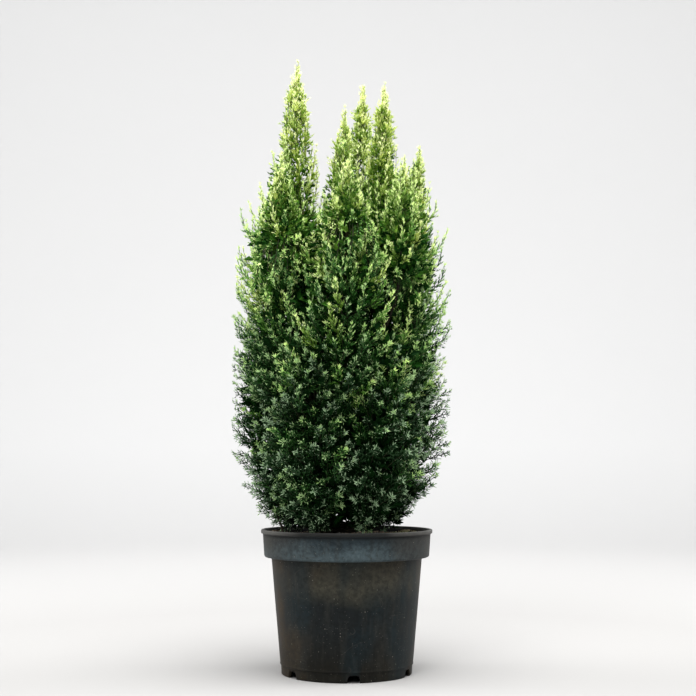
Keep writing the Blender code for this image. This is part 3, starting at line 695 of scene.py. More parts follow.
def tier_masses(label, tier):
    """The masses of a tier, evenly round the crown, named for the way they face."""
    turn, foot_radius, foot_z, top_radius, top_z, girth, bough_height = tier
    masses = []
    for index in range(TIER_COUNT):
        degrees = (index + turn) * 360.0 / TIER_COUNT - 90.0
        direction = DIRECTIONS[min(DIRECTIONS, key=lambda named: abs(named - degrees))]
        way = np.array([math.cos(math.radians(degrees)), math.sin(math.radians(degrees)), 0.0])
        foot = np.array([CROWN_X, 0.0, foot_z]) + foot_radius * way
        top = np.array([CROWN_X, 0.0, top_z]) + top_radius * way
        height = bough_height + BOUGH_HEIGHT_STEP * (index % BOUGH_HEIGHTS)
        masses.append(Mass(f"{label}_{direction}", foot, top, girth, False, height))
    return masses


def make_masses():
    """Every mass of the crown, with its walls and its stem."""
    masses = tier_masses("low", LOW_TIER) + tier_masses("middle", MIDDLE_TIER)
    masses += [Mass(f"peak_{name}", foot, top, girth, True, height)
               for name, foot, top, girth, height in PEAKS]
    for mass in masses:
        mass.set_walls(masses)
        mass.plan_stem()
    return masses


MASSES = make_masses()


def bough_route(mass, steps):
    """The bough leaves the trunk square to it, turns up and ends at the foot of its mass's stem."""
    centre = trunk_at(mass.bough_height)
    away = unit((mass.stem_foot - centre) * (1.0, 1.0, 0.0))
    start = centre + away * (trunk_radius(mass.bough_height - BOUGH_FOOT_RADIUS) + CLEAR)
    end = mass.stem_foot - CLEAR * mass.stem_way
    span = np.linalg.norm(end - start)
    turn = min(BOUGH_TURN, BOUGH_TURN_SHARE * span)
    route = limb_route(start, away, turn, end, mass.stem_way, BOUGH_RISE * span, steps)
    size = SHORT_BOUGH_SIZE + (1.0 - SHORT_BOUGH_SIZE) * min(1.0, span / LONG_BOUGH)
    return route, np.linspace(size * BOUGH_FOOT_RADIUS, size * BOUGH_TIP_RADIUS, len(route))


def limb_surface(route, radii, sides, fissures, depth, rng):
    """A round limb with bark relief, as points of rings along a route.

    The radius at angle a and length s is the taper times one less a fissure: a sharp ridge wave
    of a, whose phase shifts with slow sines of s, and which opens and closes with s. A product
    of two finer waves adds flakes.
    """
    way = unit(np.gradient(route, axis=0))
    angle = ring_angles(sides)
    steps = np.linalg.norm(np.diff(route, axis=0), axis=1)
    length = np.concatenate([[0.0], np.cumsum(steps)])[:, None]
    phase = rng.uniform(0.0, 2.0 * math.pi, 6)

    def wave(height, turns, waves, start):
        return height * np.sin(turns * angle + waves * length + start)

    shift = sum(wave(*shape, start) for shape, start in zip(FISSURE_SHIFTS, phase))
    ridge = 1.0 - np.abs(np.sin(0.5 * (fissures * angle + shift)))
    gate = GATE_MIDDLE + wave(*GATE_WAVE, phase[3])
    flake = wave(*FLAKE_WAVES[0], phase[4]) * wave(*FLAKE_WAVES[1], phase[5])
    radius = radii[:, None] * (1.0 - depth * gate * ridge ** RIDGE_SHARPNESS + depth * flake)
    return route[:, None] + radius[..., None] * turned_about(way[:, None], LIMB_GUIDE, angle)


def capped_tube_faces(rings, sides):
    """Triangles of a tube of rings, with a fan of triangles over each end."""
    walls = as_triangles(grid_faces(rings, sides))
    fan = np.stack([np.zeros(sides - 2, int), np.arange(1, sides - 1), np.arange(2, sides)], axis=1)
    top = fan + (rings - 1) * sides
    return np.concatenate([walls, fan[:, ::-1], top])


def join_limbs(surfaces):
    """Points and faces of many limb surfaces, one after another."""
    points, faces, total = [], [], 0
    for surface in surfaces:
        rings, sides, _ = surface.shape
        points.append(surface.reshape(-1, 3))
        faces.append(capped_tube_faces(rings, sides) + total)
        total += rings * sides
    return np.concatenate(points), np.concatenate(faces)


def thin_tubes(paths, radii, sides=3):
    """Many thin twigs at once: rings round each path, square to its slope, joined and capped."""
    way = unit(np.gradient(paths, axis=1))
    guide = np.cross(paths[:, -1] - paths[:, 0], TWIG_GUIDE)[:, None, None]
    angle = ring_angles(sides)
    ring = turned_about(way[:, :, None], guide, angle)
    points = paths[:, :, None] + radii[:, :, None, None] * ring
    count, steps = paths.shape[:2]
    faces = capped_tube_faces(steps, sides)
    offsets = np.arange(count)[:, None, None] * steps * sides
    return points.reshape(-1, 3), (faces[None] + offsets).reshape(-1, 3)


# Sprays


def spray_rule(mass, count, spread, rng):
    """The source's rule: twigs at golden turns up the stem, each rising to the mass's outline."""
    index = np.arange(count)
    share = (index + FIRST_TWIG) / (count + LAST_TWIG)
    turn = (index * GOLDEN_SHARE) % 1.0
    angle = mass.facing + (turn - 0.5) * mass.sector
    out = np.stack([np.cos(angle), np.sin(angle), np.zeros(count)], axis=1)
    middle = mass.axis(share)
    want = mass.swell(share) * rng.uniform(*spread, count)
    tuck = FOOT_TUCK * (1.0 + FOOT_TUCK_RIGHT * out[:, 0])
    over_foot = smooth_step((middle[:, 2] - CROWN_FOOT_Z) / FOOT_TUCK_HEIGHT)
    want = want * (1.0 - tuck * (1.0 - over_foot))
    reach = mass.reach(middle, out, want, SPRAY_ROOM)
    end = middle + reach[:, None] * out
    rise = SPRAY_RISE * rng.uniform(*RISE_SPREAD, count) / mass.height
    low, high = mass.core_low + TWIG_END_INSET, mass.core_high - TWIG_END_INSET
    return {
        "start": mass.stem_at(np.clip(share - rise, low, high)), "end": end, "out": out,
        "cap": CAP_SHARE * mass.swell(share) + CAP_LEAST, "open": reach / np.maximum(want, SMALL),
    }


def tier_of(mass):
    """The part of the crown that a mass belongs to."""
    return mass.name.split("_")[0]


def by_height(count, mass):
    """A count for a pointed mass of usual height, made right for the height of this one."""
    return round(count * mass.height / USUAL_PEAK_HEIGHT) if mass.pointed else count


def towers(mass, points):
    """Small towers of growth: how far a point is on one, not in the furrow beside it, and how far up.

    Columns go round a pointed mass or round the crown, each a stack of towers that narrow as they rise.
    """
    centre, columns = (mass.foot[:2], PEAK_TOWERS) if mass.pointed else ((CROWN_X, 0.0), CROWN_TOWERS)
    turn = np.arctan2(points[:, 1] - centre[1], points[:, 0] - centre[0]) / (2.0 * math.pi)
    column = columns * turn + TOWER_SWAY * np.sin(TOWER_SWAY_WAVES * points[:, 2])
    index = np.floor(column)
    across = np.abs(2.0 * (column - index) - 1.0)
    rise = (points[:, 2] / TOWER_HEIGHT + GOLDEN_SHARE * index) % 1.0
    half_width = 1.0 - TOWER_NARROWING * rise ** TOWER_POWER
    return smooth_step((half_width - across) / TOWER_EDGE + 0.5), rise


def plume_share(height):
    """How upright growth is: nothing at the foot of the crown, one in its upper third."""
    return smooth_step((height - PLUME_LOW_Z) / PLUME_RISE)


def tint_values(end, rng):
    """Place on the palette, 0 to 1: it rises with height, partly the leaves' own colour and partly painted
    light from above, and wavers from spray to spray.
    """
    height = np.clip((end[:, 2] - CROWN_FOOT_Z) / (CAD_HIGH[2] - CROWN_FOOT_Z), 0.0, 1.0)
    bright = np.where(rng.random(len(end)) < BRIGHT_SHARE, BRIGHT_GAIN, 0.0)
    return height ** TINT_POWER + bright + rng.normal(0.0, TINT_WAVER, len(end))


def plan_sprays(mass, settings):
    """Every spray of a mass as a cubic curve from its stem, turning up towards its end."""
    rng = seeded(mass.name)
    counts = (settings.low_sprays, settings.middle_sprays, settings.peak_sprays)
    count = by_height(counts[TIERS.index(tier_of(mass))], mass)
    rule = spray_rule(mass, count, POINTED_REACH if mass.pointed else ROUND_REACH, rng)
    deep = rng.random(count) < DEEP_SHARE
    pull_in = np.where(deep, rng.uniform(*DEEP_REACH, count), 1.0)
    on_tower, rise = towers(mass, rule["end"])
    furrow = (1.0 - on_tower) * plume_share(rule["end"][:, 2])
    pull_in = pull_in * (1.0 - FURROW_DEPTH * furrow)
    start, out = rule["start"], rule["out"]
    end = start + pull_in[:, None] * (rule["end"] - start) - TIP_ROOM * out
    end = np.clip(end, np.array(CAD_LOW) + BOX_ROOM, np.array(CAD_HIGH) - BOX_ROOM)
    plume = plume_share(end[:, 2])
    upright = plume[:, None]
    pitch = np.radians(between(END_PITCH, plume))
    pitch = (pitch + rng.normal(0.0, between(PITCH_WAVER, plume), count))[:, None]
    aside = np.cross(out, UP) * rng.normal(0.0, SIDE_WAVER, count)[:, None]
    end_way = np.cos(pitch) * unit(out + aside) + np.sin(pitch) * UP
    start_way = unit(out + START_LIFT * UP + rng.normal(0.0, START_WAVER, (count, 3)))
    span = np.linalg.norm(end - start, axis=1)[:, None]
    climb = np.maximum(end - start, LEAST_CLIMB)[:, 2:]
    start_pull = between(START_PULL, upright) * span
    end_pull = LEVEL_PULL * span * (1.0 - upright) + CLIMB_PULL * climb * upright
    handles = np.stack([start, start + start_pull * start_way, end - end_pull * end_way, end], axis=1)
    # Vigour sets how pale a spray's shades are: random, less painted shade on deep and furrowed sprays,
    # plus painted light high on towers
    vigour_and_painted_light = rng.normal(*VIGOUR, count) - DEEP_SHADE * deep - FURROW_SHADE * furrow
    leafy = settings.leafy_length * between(LEAFY_SHARE, plume)
    sprays = {
        "handles": handles, "cap": rule["cap"], "plume": plume, "size": between(SPRAY_SIZE, plume),
        "vigour_and_painted_light": vigour_and_painted_light + TOWER_TOP_LIGHT * plume * on_tower * rise,
        "leafy": leafy * rng.uniform(*LEAFY_SPREAD, count), "tint": tint_values(end, rng),
    }
    keep = (rule["open"] > LEAST_OPEN) & (span[:, 0] > LEAST_SPAN)
    return {key: value[keep] for key, value in sprays.items()}


def plan_leaders(mass):
    """Narrow upright shoots that carry a pointed mass to its top."""
    rng = seeded(mass.name + "_leader")
    aside, drop = np.array(LEADER_SHOOTS).T
    count = len(drop)
    turn = GOLDEN_TURN * np.arange(count) + rng.uniform(0.0, 2.0 * math.pi)
    away = aside[:, None] * np.stack([np.cos(turn), np.sin(turn), np.zeros(count)], axis=1)
    away[0] = (aside[0], 0.0, 0.0)
    end = mass.top + away - (drop[:, None] + LEADER_TIP_ROOM) * UP
    share = (end[:, 2] - LEADER_RISE - mass.foot[2]) / (mass.top[2] - mass.foot[2])
    start = mass.stem_at(np.clip(share, mass.core_low, mass.core_high - TWIG_END_INSET))
    start = start + rng.normal(0.0, LEADER_WAVER, (count, 3))
    span = np.linalg.norm(end - start, axis=1)[:, None]
    start_pull, end_pull = LEADER_PULLS
    handles = np.stack([start, start + start_pull * span * UP, end - end_pull * span * UP, end], axis=1)
    vigour_and_painted_light = rng.normal(0.0, LEADER_VIGOUR, count)
    # These draws are not used. They keep the tints that are drawn next as they were chosen
    rng.normal(0.0, 1.0, (count, 3))
    least_cap, cap_slope = LEADER_CAP
    least_size, size_slope, most_size = LEADER_SIZE
    return {
        "handles": handles, "cap": least_cap + cap_slope * drop, "plume": np.ones(count),
        "size": np.minimum(least_size + size_slope * drop, most_size), "vigour_and_painted_light": vigour_and_painted_light,
        "leafy": np.minimum(span[:, 0] * LEADER_LEAFY_SHARE, LEADER_LEAFY_MOST),
        "tint": tint_values(end, rng) + LEADER_TINT_GAIN,
    }


def merge(plans):
    """Plans with the same keys, joined end to end."""
    return {key: np.concatenate([plan[key] for plan in plans]) for key in plans[0]}


def finger_table(side_fingers):
    """For each finger of a spray: its shoot, place, lean and roll, and whether it sheathes the shoot."""
    star = [(STAR_PLACE, STAR_LEAN, 2.0 * math.pi * index / STAR_SIZE) for index in range(STAR_SIZE)]
    rows = []
    for shoot in range(SHOOTS):
        rows += [(shoot, 0.0, 0.0, 0.0, 1.0), (shoot, 1.0, 0.0, 0.0, 0.0)]
        sides = star if shoot == SHOOTS - 1 else side_fingers
        rows += [(shoot, place, lean, roll + SHOOT_TWIST * shoot, 0.0) for place, lean, roll in sides]
    return np.array(rows)


FERN = finger_table(FERN_FINGERS)
WHORL = finger_table(WHORL_FINGERS)


def grow_shoots(sprays, rng):
    """Side shoots at golden turns round each twig, long low down and short above, and one at its tip."""
    count = len(sprays["cap"])
    shape = (count, SHOOTS)
    up_spray = np.linspace(0.0, 1.0, SHOOTS)
    span = np.linalg.norm(sprays["handles"][:, 3] - sprays["handles"][:, 0], axis=1)
    first = np.clip(1.0 - sprays["leafy"] / (TWIG_CURVE * span), *FIRST_SHOOT)[:, None]
    along = np.clip(up_spray + rng.uniform(-SHOOT_SHIFT, SHOOT_SHIFT, shape), 0.0, LAST_SHOOT)
    t = first + (1.0 - first) * along
    way = bezier_way(sprays["handles"], t)
    guide = unit(rng.normal(0.0, 1.0, (count, 1, 3)))
    roll = GOLDEN_TURN * np.arange(SHOOTS) + rng.normal(0.0, SHOOT_ROLL, shape)
    upright = sprays["plume"][:, None]
    lean = np.radians(between(SHOOT_LEAN, upright) * (1.0 - TOP_LEAN_LOSS * up_spray))
    lean = lean + rng.normal(0.0, SHOOT_LEAN_WAVER, shape)
    lean[:, -1] = 0.0
    lean_way = np.cos(lean)[..., None] * way + np.sin(lean)[..., None] * turned_about(way, guide, roll)
    share = between(SHOOT_LENGTH, upright) * (1.0 - up_spray) ** SHOOT_TAPER + SHOOT_LEAST
    length = np.minimum(sprays["leafy"][:, None] * share, sprays["cap"][:, None])
    return {
        "base": bezier(sprays["handles"], t), "way": unit(lean_way),
        "length": length * rng.uniform(*SHOOT_SPREAD, shape),
    }


def grow_fingers(sprays, shoots, settings, rng):
    """Fingers of each shoot: a sheath along it, one on from its end, and more along it or round its end."""
    which = FERN[:, 0].astype(int)
    sheath = FERN[:, 4]
    at_tip = which == SHOOTS - 1
    upright = sprays["plume"][:, None]
    fern = upright > rng.uniform(*FERN_FROM, upright.shape)
    place, lean, roll = (np.where(fern, FERN[:, column], WHORL[:, column]) for column in (1, 2, 3))
    way, shoot_length = shoots["way"][:, which], shoots["length"][:, which]
    shape = shoot_length.shape
    base = shoots["base"][:, which] + (shoot_length * place)[..., None] * way
    guide = unit(rng.normal(0.0, 1.0, (shape[0], 1, 3)))
    lean = lean * rng.normal(1.0, FINGER_LEAN_WAVER, shape) * between(FINGER_LEAN, upright)
    roll = roll + rng.normal(0.0, FINGER_ROLL, shape)
    finger_way = np.cos(lean)[..., None] * way + np.sin(lean)[..., None] * turned_about(way, guide, roll)
    finger_way = unit(finger_way + between(FINGER_LIFT, upright[..., None]) * UP)
    up_spray = np.broadcast_to(which / (SHOOTS - 1.0), shape)
    length = settings.finger_length * sprays["size"][:, None] * between(FINGER_SIZE, up_spray)
    length = length * rng.uniform(*FINGER_SPREAD, shape) * np.where(fern | at_tip, 1.0, WHORL_SIZE)
    length = np.where(sheath > 0.0, SHEATH_SIZE * shoot_length, length)
    tint = sprays["tint"][:, None] + rng.normal(0.0, FINGER_TINT_WAVER, shape)
    # Up picks each leaf's shade, which is partly painted light: stars, ends and upright growth paler, side
    # fingers and sheaths darker
    up = up_spray * (1.0 - SHEATH_LOSS * sheath) + UPRIGHT_GAIN * upright + UP_START
    up = up + rng.normal(0.0, UP_WAVER, shape) + sprays["vigour_and_painted_light"][:, None]
    star = (rng.random((shape[0], SHOOTS)) < STARRY * (1.0 - upright))[:, which] | at_tip
    up = up + np.where(star, STAR_GAIN, np.where(place == 1.0, END_GAIN, SIDE_GAIN))
    return {
        "base": base.reshape(-1, 3), "way": finger_way.reshape(-1, 3),
        "face": across_from(finger_way, rng.normal(0.0, 1.0, (*shape, 3))).reshape(-1, 3),
        "length": length.ravel(), "up": up.ravel(), "tint": tint.ravel(),
    }


def clear_of_pot_and_trunk(fingers):
    """True for fingers above the pot's rim or over the compost, and outside the trunk."""
    ends = fingers["base"] + fingers["length"][:, None] * fingers["way"]
    lowest = np.minimum(fingers["base"][:, 2], ends[:, 2])
    from_axis = np.maximum(np.hypot(*fingers["base"][:, :2].T), np.hypot(*ends[:, :2].T))
    over_soil = (from_axis < RIM_RADIUS - LEAF_RIM_ROOM) & (lowest > SOIL_Z + LEAF_SOIL_ROOM)
    over_rim = lowest > RIM_Z + LEAF_OVER_RIM
    from_trunk = np.linalg.norm(fingers["base"] - trunk_at(fingers["base"][:, 2]), axis=1)
    off_trunk = from_trunk > trunk_radius(fingers["base"][:, 2]) + LEAF_TRUNK_ROOM
    return (over_soil | over_rim) & off_trunk


def leaf_kites(fingers, pattern):
    """Leaves as kites of two triangles, round each finger, their flat sides outwards.

    A leaf leads away from its finger by its spread, on the side that its roll gives. Its corners
    are its root, two shoulders part way along it, and its tip, and it is folded a little along
    its middle.
    """
    place, spread, roll, long, wide = pattern.T
    way, face = fingers["way"][:, None], fingers["face"][:, None]
    length = fingers["length"][:, None, None]
    side = np.cross(face, way)
    around = np.cos(roll)[:, None] * side + np.sin(roll)[:, None] * face
    across = np.cos(roll)[:, None] * face - np.sin(roll)[:, None] * side
    lead = np.cos(spread)[:, None] * way + np.sin(spread)[:, None] * around
    long, wide = long[:, None], wide[:, None]
    root = fingers["base"][:, None] + length * place[:, None] * way
    tip = root + length * long * lead
    middle = root + LEAF_SHOULDER * length * long * lead - LEAF_FOLD * length * wide * around
    half = 0.5 * length * wide * across
    return np.stack([root, middle - half, tip, middle + half], axis=2)


def shade_by_place(up_spray, leaf):
    """Inner leaves low on the spray, partly painted shade; tip leaves at the ends of its upper fingers,
    partly painted highlight; blades between.
    """
    tips = (leaf >= FIRST_TIP_LEAF) & (up_spray > TIP_ABOVE) | (up_spray > ALL_TIP_ABOVE)
    inner = (leaf < FIRST_TIP_LEAF) & (up_spray < INNER_BELOW)
    shade = np.where(inner, SHADES.index("inner"), SHADES.index("blade"))
    return np.where(tips, SHADES.index("tip"), shade)


def all_inner(up_spray, leaf):
    """Inner leaves everywhere, as on old growth, whose dark colours are partly painted shade."""
    return np.full(np.broadcast_shapes(up_spray.shape, leaf.shape), SHADES.index("inner"))


def dealt_classes(fingers, pattern, shade_of_leaf):
    """Which colour each leaf takes: the tint of its spray, and the shade of its place."""
    tint = np.clip(np.floor(fingers["tint"] * len(TINTS)), 0, len(TINTS) - 1).astype(int)
    shade = shade_of_leaf(fingers["up"][:, None], np.arange(len(pattern)))
    return tint[:, None] * len(SHADES) + shade


def inner_fingers(mass, settings):
    """Old growth inside the crown, darkened as painted shade: coarse fingers scattered round the stem."""
    rng = seeded(mass.name + "_old")
    count = by_height(settings.old_fingers, mass)
    low = mass.core_low - OLD_FOOT
    share = low + (mass.core_high - low) * rng.random(count) ** (OLD_POWER if mass.pointed else 1.0)
    angle = rng.uniform(0.0, 2.0 * math.pi, count)
    out = np.stack([np.cos(angle), np.sin(angle), np.zeros(count)], axis=1)
    middle = mass.axis(share)
    swell = np.maximum(mass.swell(share), OLD_LEAST_SWELL)
    reach = mass.reach(middle, out, swell, OLD_ROOM)
    least, most = OLD_REACH
    most = np.where(reach < OLD_WALLED * swell, OLD_WALLED_REACH, most)
    base = middle + (reach * rng.uniform(least, most))[:, None] * out
    way = unit(out + rng.normal(0.0, OLD_WAVER, (count, 3)) + OLD_LIFT)
    face = across_from(way, rng.normal(0.0, 1.0, (count, 3)))
    plume = plume_share(base[:, 2] - OLD_PLUME_DROP)
    length = np.minimum(rng.uniform(*OLD_LENGTHS, count), OLD_LENGTH_CAP * swell)
    return {
        "base": base, "way": way, "face": face, "up": np.zeros(count),
        "length": length * (1.0 - OLD_LENGTH_LOSS * plume),
        # The tint is lowered as painted shade inside the crown, less in the upper crown
        "tint": tint_values(base, rng) - OLD_SHADE_LOSS * (1.0 - OLD_SHADE_BACK * plume),
    }


# Materials


def principled(name, colour, roughness, specular):
    """A material with its even colour, roughness and gloss on the shader's own sockets."""
    made = bpy.data.materials.new(name)
    made.use_nodes = True
    shader = made.node_tree.nodes["Principled BSDF"]
    shader.inputs["Base Color"].default_value = (*colour, 1.0)
    shader.inputs["Roughness"].default_value = roughness
    shader.inputs["Specular IOR Level"].default_value = specular
    return made, made.node_tree, shader


def feed(tree, socket, value):
    """Links a socket to another, or sets it to a number, a vector or a colour."""
    if isinstance(value, bpy.types.NodeSocket):
        tree.links.new(value, socket)
    elif socket.type == "RGBA":
        socket.default_value = (*value, 1.0)
    else:
        socket.default_value = value


def add_node(tree, kind, **inputs):
    """A node of a kind, with its inputs as values or as links from sockets."""
    node = tree.nodes.new(kind)
    for key, value in inputs.items():
        feed(tree, node.inputs[key], value)
    return node


def object_place(tree, scale=(1.0, 1.0, 1.0)):
    """Object coordinates, stretched."""
    place = add_node(tree, "ShaderNodeTexCoord").outputs["Object"]
    return add_node(tree, "ShaderNodeMapping", Vector=place, Scale=scale).outputs["Vector"]


def object_axes(tree):
    """Object coordinates as sockets named X, Y and Z."""
    return add_node(tree, "ShaderNodeSeparateXYZ", Vector=object_place(tree)).outputs


def noise(tree, place, scale, detail, roughness):
    """Cloudy values about one half."""
    inputs = {"Vector": place, "Scale": scale, "Detail": detail, "Roughness": roughness}
    return add_node(tree, "ShaderNodeTexNoise", **inputs).outputs["Fac"]


def ramp(tree, value, *stops):
    """A value to a colour by stops of place and colour, where one number stands for a grey."""
    node = add_node(tree, "ShaderNodeValToRGB", Fac=value)
    for index, (place, colour) in enumerate(stops):
        stop = node.color_ramp.elements[index] if index < 2 else node.color_ramp.elements.new(place)
        stop.position = place
        stop.color = (*np.broadcast_to(colour, 3), 1.0)
    return node.outputs["Color"]


def math_node(tree, operation, first, second=0.0):
    """Arithmetic with one or two values."""
    node = tree.nodes.new("ShaderNodeMath")
    node.operation = operation
    feed(tree, node.inputs[0], first)
    feed(tree, node.inputs[1], second)
    return node.outputs["Value"]


def height_ramp(tree, height, *stops):
    """A ramp by height in metres, scaled up so that its stops lie well apart."""
    scaled = math_node(tree, "MULTIPLY", RAMP_SCALE, height)
    return ramp(tree, scaled, *((RAMP_SCALE * place, colour) for place, colour in stops))


def across_ramp(tree, across, *stops):
    """A ramp by metres to the right of the middle, moved so that its stops lie above nothing."""
    moved = math_node(tree, "ADD", RAMP_SHIFT, across)
    return ramp(tree, moved, *((RAMP_SHIFT + place, colour) for place, colour in stops))


def mix_colours(tree, share, first, second):
    """The first colour with a share of the second over it."""
    node = tree.nodes.new("ShaderNodeMix")
    node.data_type = "RGBA"
    for index, value in ((0, share), (6, first), (7, second)):
        feed(tree, node.inputs[index], value)
    return node.outputs[2]


def set_bump(tree, shader, height, strength, distance):
    """Gives a shader relief."""
    bump = add_node(tree, "ShaderNodeBump", Height=height, Strength=strength, Distance=distance)
    feed(tree, shader.inputs["Normal"], bump.outputs["Normal"])


def darker(colour, share):
    """A share of a colour."""
    return tuple(share * value for value in colour)


def palette_colour(anchors, share):
    """A colour between four anchors, low, middle, upper and high."""
    return tuple(float(np.interp(share, LEVEL_PLACES, channel)) for channel in zip(*anchors))


def leaf_material(settings, tint, shade):
    """Scale leaves of one colour, with the soft gloss of their wax."""
    anchors = [getattr(settings, f"{level}_{SHADES[shade]}") for level in LEVELS]
    colour = palette_colour(anchors, tint / (len(TINTS) - 1))
    name = f"{TINTS[tint]}_{SHADES[shade]}"
    return principled(name, colour, LEAF_ROUGHNESS[shade], LEAF_GLOSS[shade])[0]


def bark_material(settings):
    """Thin brown bark with paler weathered ridges and dark fissures, green on the upper trunk."""
    made, tree, shader = principled("cypress_bark", settings.bark, 0.85, 0.3)
    strings = noise(tree, object_place(tree, BARK_STRETCH), 1.0, 6.0, 0.62)
    colour = ramp(tree, strings, (0.30, darker(settings.bark, 0.35)), (0.72, settings.bark_weathered),
                  (0.52, settings.bark))
    young = ramp(tree, object_axes(tree)["Z"], (YOUNG_BARK_FROM, 0.0), (YOUNG_BARK_TO, 0.9))
    feed(tree, shader.inputs["Base Color"], mix_colours(tree, young, colour, settings.young_bark))
    set_bump(tree, shader, strings, 0.6, 0.0006)
    return made


def twig_material(settings):
    """Young twigs: dark olive brown."""
    return principled("cypress_twigs", settings.twig, 0.75, 0.3)[0]


def compost_material(settings):
    """Damp peat and bark: dark, with paler crumbs and darker wet patches."""
    made, tree, shader = principled("compost", settings.compost, 0.92, 0.35)
    crumbs = noise(tree, object_place(tree), 420.0, 8.0, 0.7)
    wet = ramp(tree, noise(tree, object_place(tree), 38.0, 3.0, 0.5), (0.42, 0.0), (0.62, 0.6))
    colour = ramp(tree, crumbs, (0.32, darker(settings.compost, 0.25)), (0.80, settings.compost_crumbs),
                  (0.56, settings.compost))
    feed(tree, shader.inputs["Base Color"], mix_colours(tree, wet, colour, WET_COMPOST))
    set_bump(tree, shader, crumbs, 1.0, 0.0015)
    return made


def chip_material(name, colour):
    """Bits of bark or moss, mottled."""
    made, tree, shader = principled(name, colour, 0.9, 0.3)
    mottle = noise(tree, object_place(tree), 600.0, 4.0, 0.6)
    feed(tree, shader.inputs["Base Color"], ramp(tree, mottle, (0.3, darker(colour, 0.4)), (0.7, colour)))
    return made


def pot_body_colour(tree, across, height, sideways, settings):
    """The body: dust and painted light under the collar, with a painted shadow just below it, brown up the
    sides, the left most, and blue green patches.
    """
    # Dust with painted light from above fills the band under the collar, and a painted shadow darkens it
    # right under the collar's foot
    dust = settings.dusty_lit_plastic
    colour = height_ramp(tree, height, (0.015, settings.foot_plastic), (0.075, settings.plastic),
                         (0.115, settings.plastic), (0.145, dust), (0.180, darker(dust, 0.62)))
    at_left = across_ramp(tree, across, (-0.06, 1.0), (0.06, 0.35))
    brown = math_node(tree, "MULTIPLY", ramp(tree, sideways, (0.050, 0.0), (0.105, 0.9)), at_left)
    colour = mix_colours(tree, brown, colour, settings.side_plastic)
    patches = noise(tree, object_place(tree, (1.0, 1.0, 0.45)), 17.0, 2.0, 0.5)
    teal = ramp(tree, patches, (0.48, 0.0), (0.66, 0.7))
    return mix_colours(tree, teal, colour, settings.teal_plastic)


def pot_collar_colour(tree, across, height, sideways, settings):
    """The collar: lighter at the sides with dust and painted light, and a painted reflection in blue grey
    smears low on its front.
    """
    # The sides as seen from the front are lighter: dust and painted light
    at_sides = ramp(tree, sideways, (0.040, 0.0), (0.125, 1.0))
    colour = mix_colours(tree, at_sides, settings.collar_plastic, settings.collar_sides_dust_and_light)
    cloud = noise(tree, object_place(tree, (0.6, 0.6, 1.4)), 12.0, 3.0, 0.5)
    # A painted reflection: blue grey smears on the front, only on the collar's lower half
    painted_reflection = ramp(tree, cloud, (0.34, 0.30), (0.62, 1.0))
    in_front = across_ramp(tree, across, (-0.11, 0.35), (-0.07, 1.0), (0.02, 1.0), (0.10, 0.15))
    painted_reflection = math_node(tree, "MULTIPLY", painted_reflection, in_front)
    low_down = height_ramp(tree, height, (0.195, 1.0), (0.215, 0.15))
    return mix_colours(tree, math_node(tree, "MULTIPLY", painted_reflection, low_down), colour, settings.collar_reflection)


def worn_colour(tree, colour, fine, streaks, settings):
    """A colour with dust in streaks, dark pores, scratches and pale specks."""
    colour = mix_colours(tree, ramp(tree, streaks, (0.48, 0.0), (0.74, 0.35)), colour, settings.dust)
    colour = mix_colours(tree, ramp(tree, fine, (0.36, 0.5), (0.58, 0.0)), colour, BLACK_PORE)
    cloud = noise(tree, object_place(tree, (1.0, 1.0, 2.2)), 9.0, 1.0, 0.4)
    off_line = math_node(tree, "ABSOLUTE", math_node(tree, "SUBTRACT", cloud, 0.5))
    line = ramp(tree, off_line, (0.0008, 0.7), (0.0028, 0.0))
    patch = ramp(tree, noise(tree, object_place(tree), 21.0, 2.0, 0.5), (0.56, 0.0), (0.62, 0.8))
    colour = mix_colours(tree, math_node(tree, "MULTIPLY", patch, line), colour, settings.dust)
    for scale, rarity in SPECKS:
        spots = add_node(tree, "ShaderNodeTexVoronoi", Vector=object_place(tree), Scale=scale).outputs
        chance = add_node(tree, "ShaderNodeSeparateColor", Color=spots["Color"]).outputs["Red"]
        rare = math_node(tree, "GREATER_THAN", chance, rarity)
        spot = ramp(tree, spots["Distance"], (0.10, 0.9), (0.19, 0.0))
        colour = mix_colours(tree, math_node(tree, "MULTIPLY", rare, spot), colour, settings.specks)
    return colour


def lip_colour(tree, colour, height, sideways, settings):
    """A colour with a painted shadow under the lip, the lip's face darker as painted shade, and the lip
    paler at the sides with wear and a painted highlight.
    """
    # Painted shadow in a band under the lip
    lip_shadow_share = height_ramp(tree, height, (RIM_Z - 0.0125, 0.0), (RIM_Z - 0.0072, 0.85), (RIM_Z - 0.0060, 0.0))
    colour = mix_colours(tree, lip_shadow_share, colour, LIP_SHADOW)
    # The lip's face is darker all round, painted shade
    lip = height_ramp(tree, height, (RIM_Z - 0.0070, 0.0), (RIM_Z - 0.0050, 1.0))
    colour = mix_colours(tree, lip, colour, SHADED_LIP)
    # Paler lip: a little wear all round, and a painted highlight at the sides
    worn_and_lit = math_node(tree, "MULTIPLY", lip, ramp(tree, sideways, (0.060, 0.12), (0.125, 0.9)))
    return mix_colours(tree, worn_and_lit, colour, settings.worn_and_lit_lip)


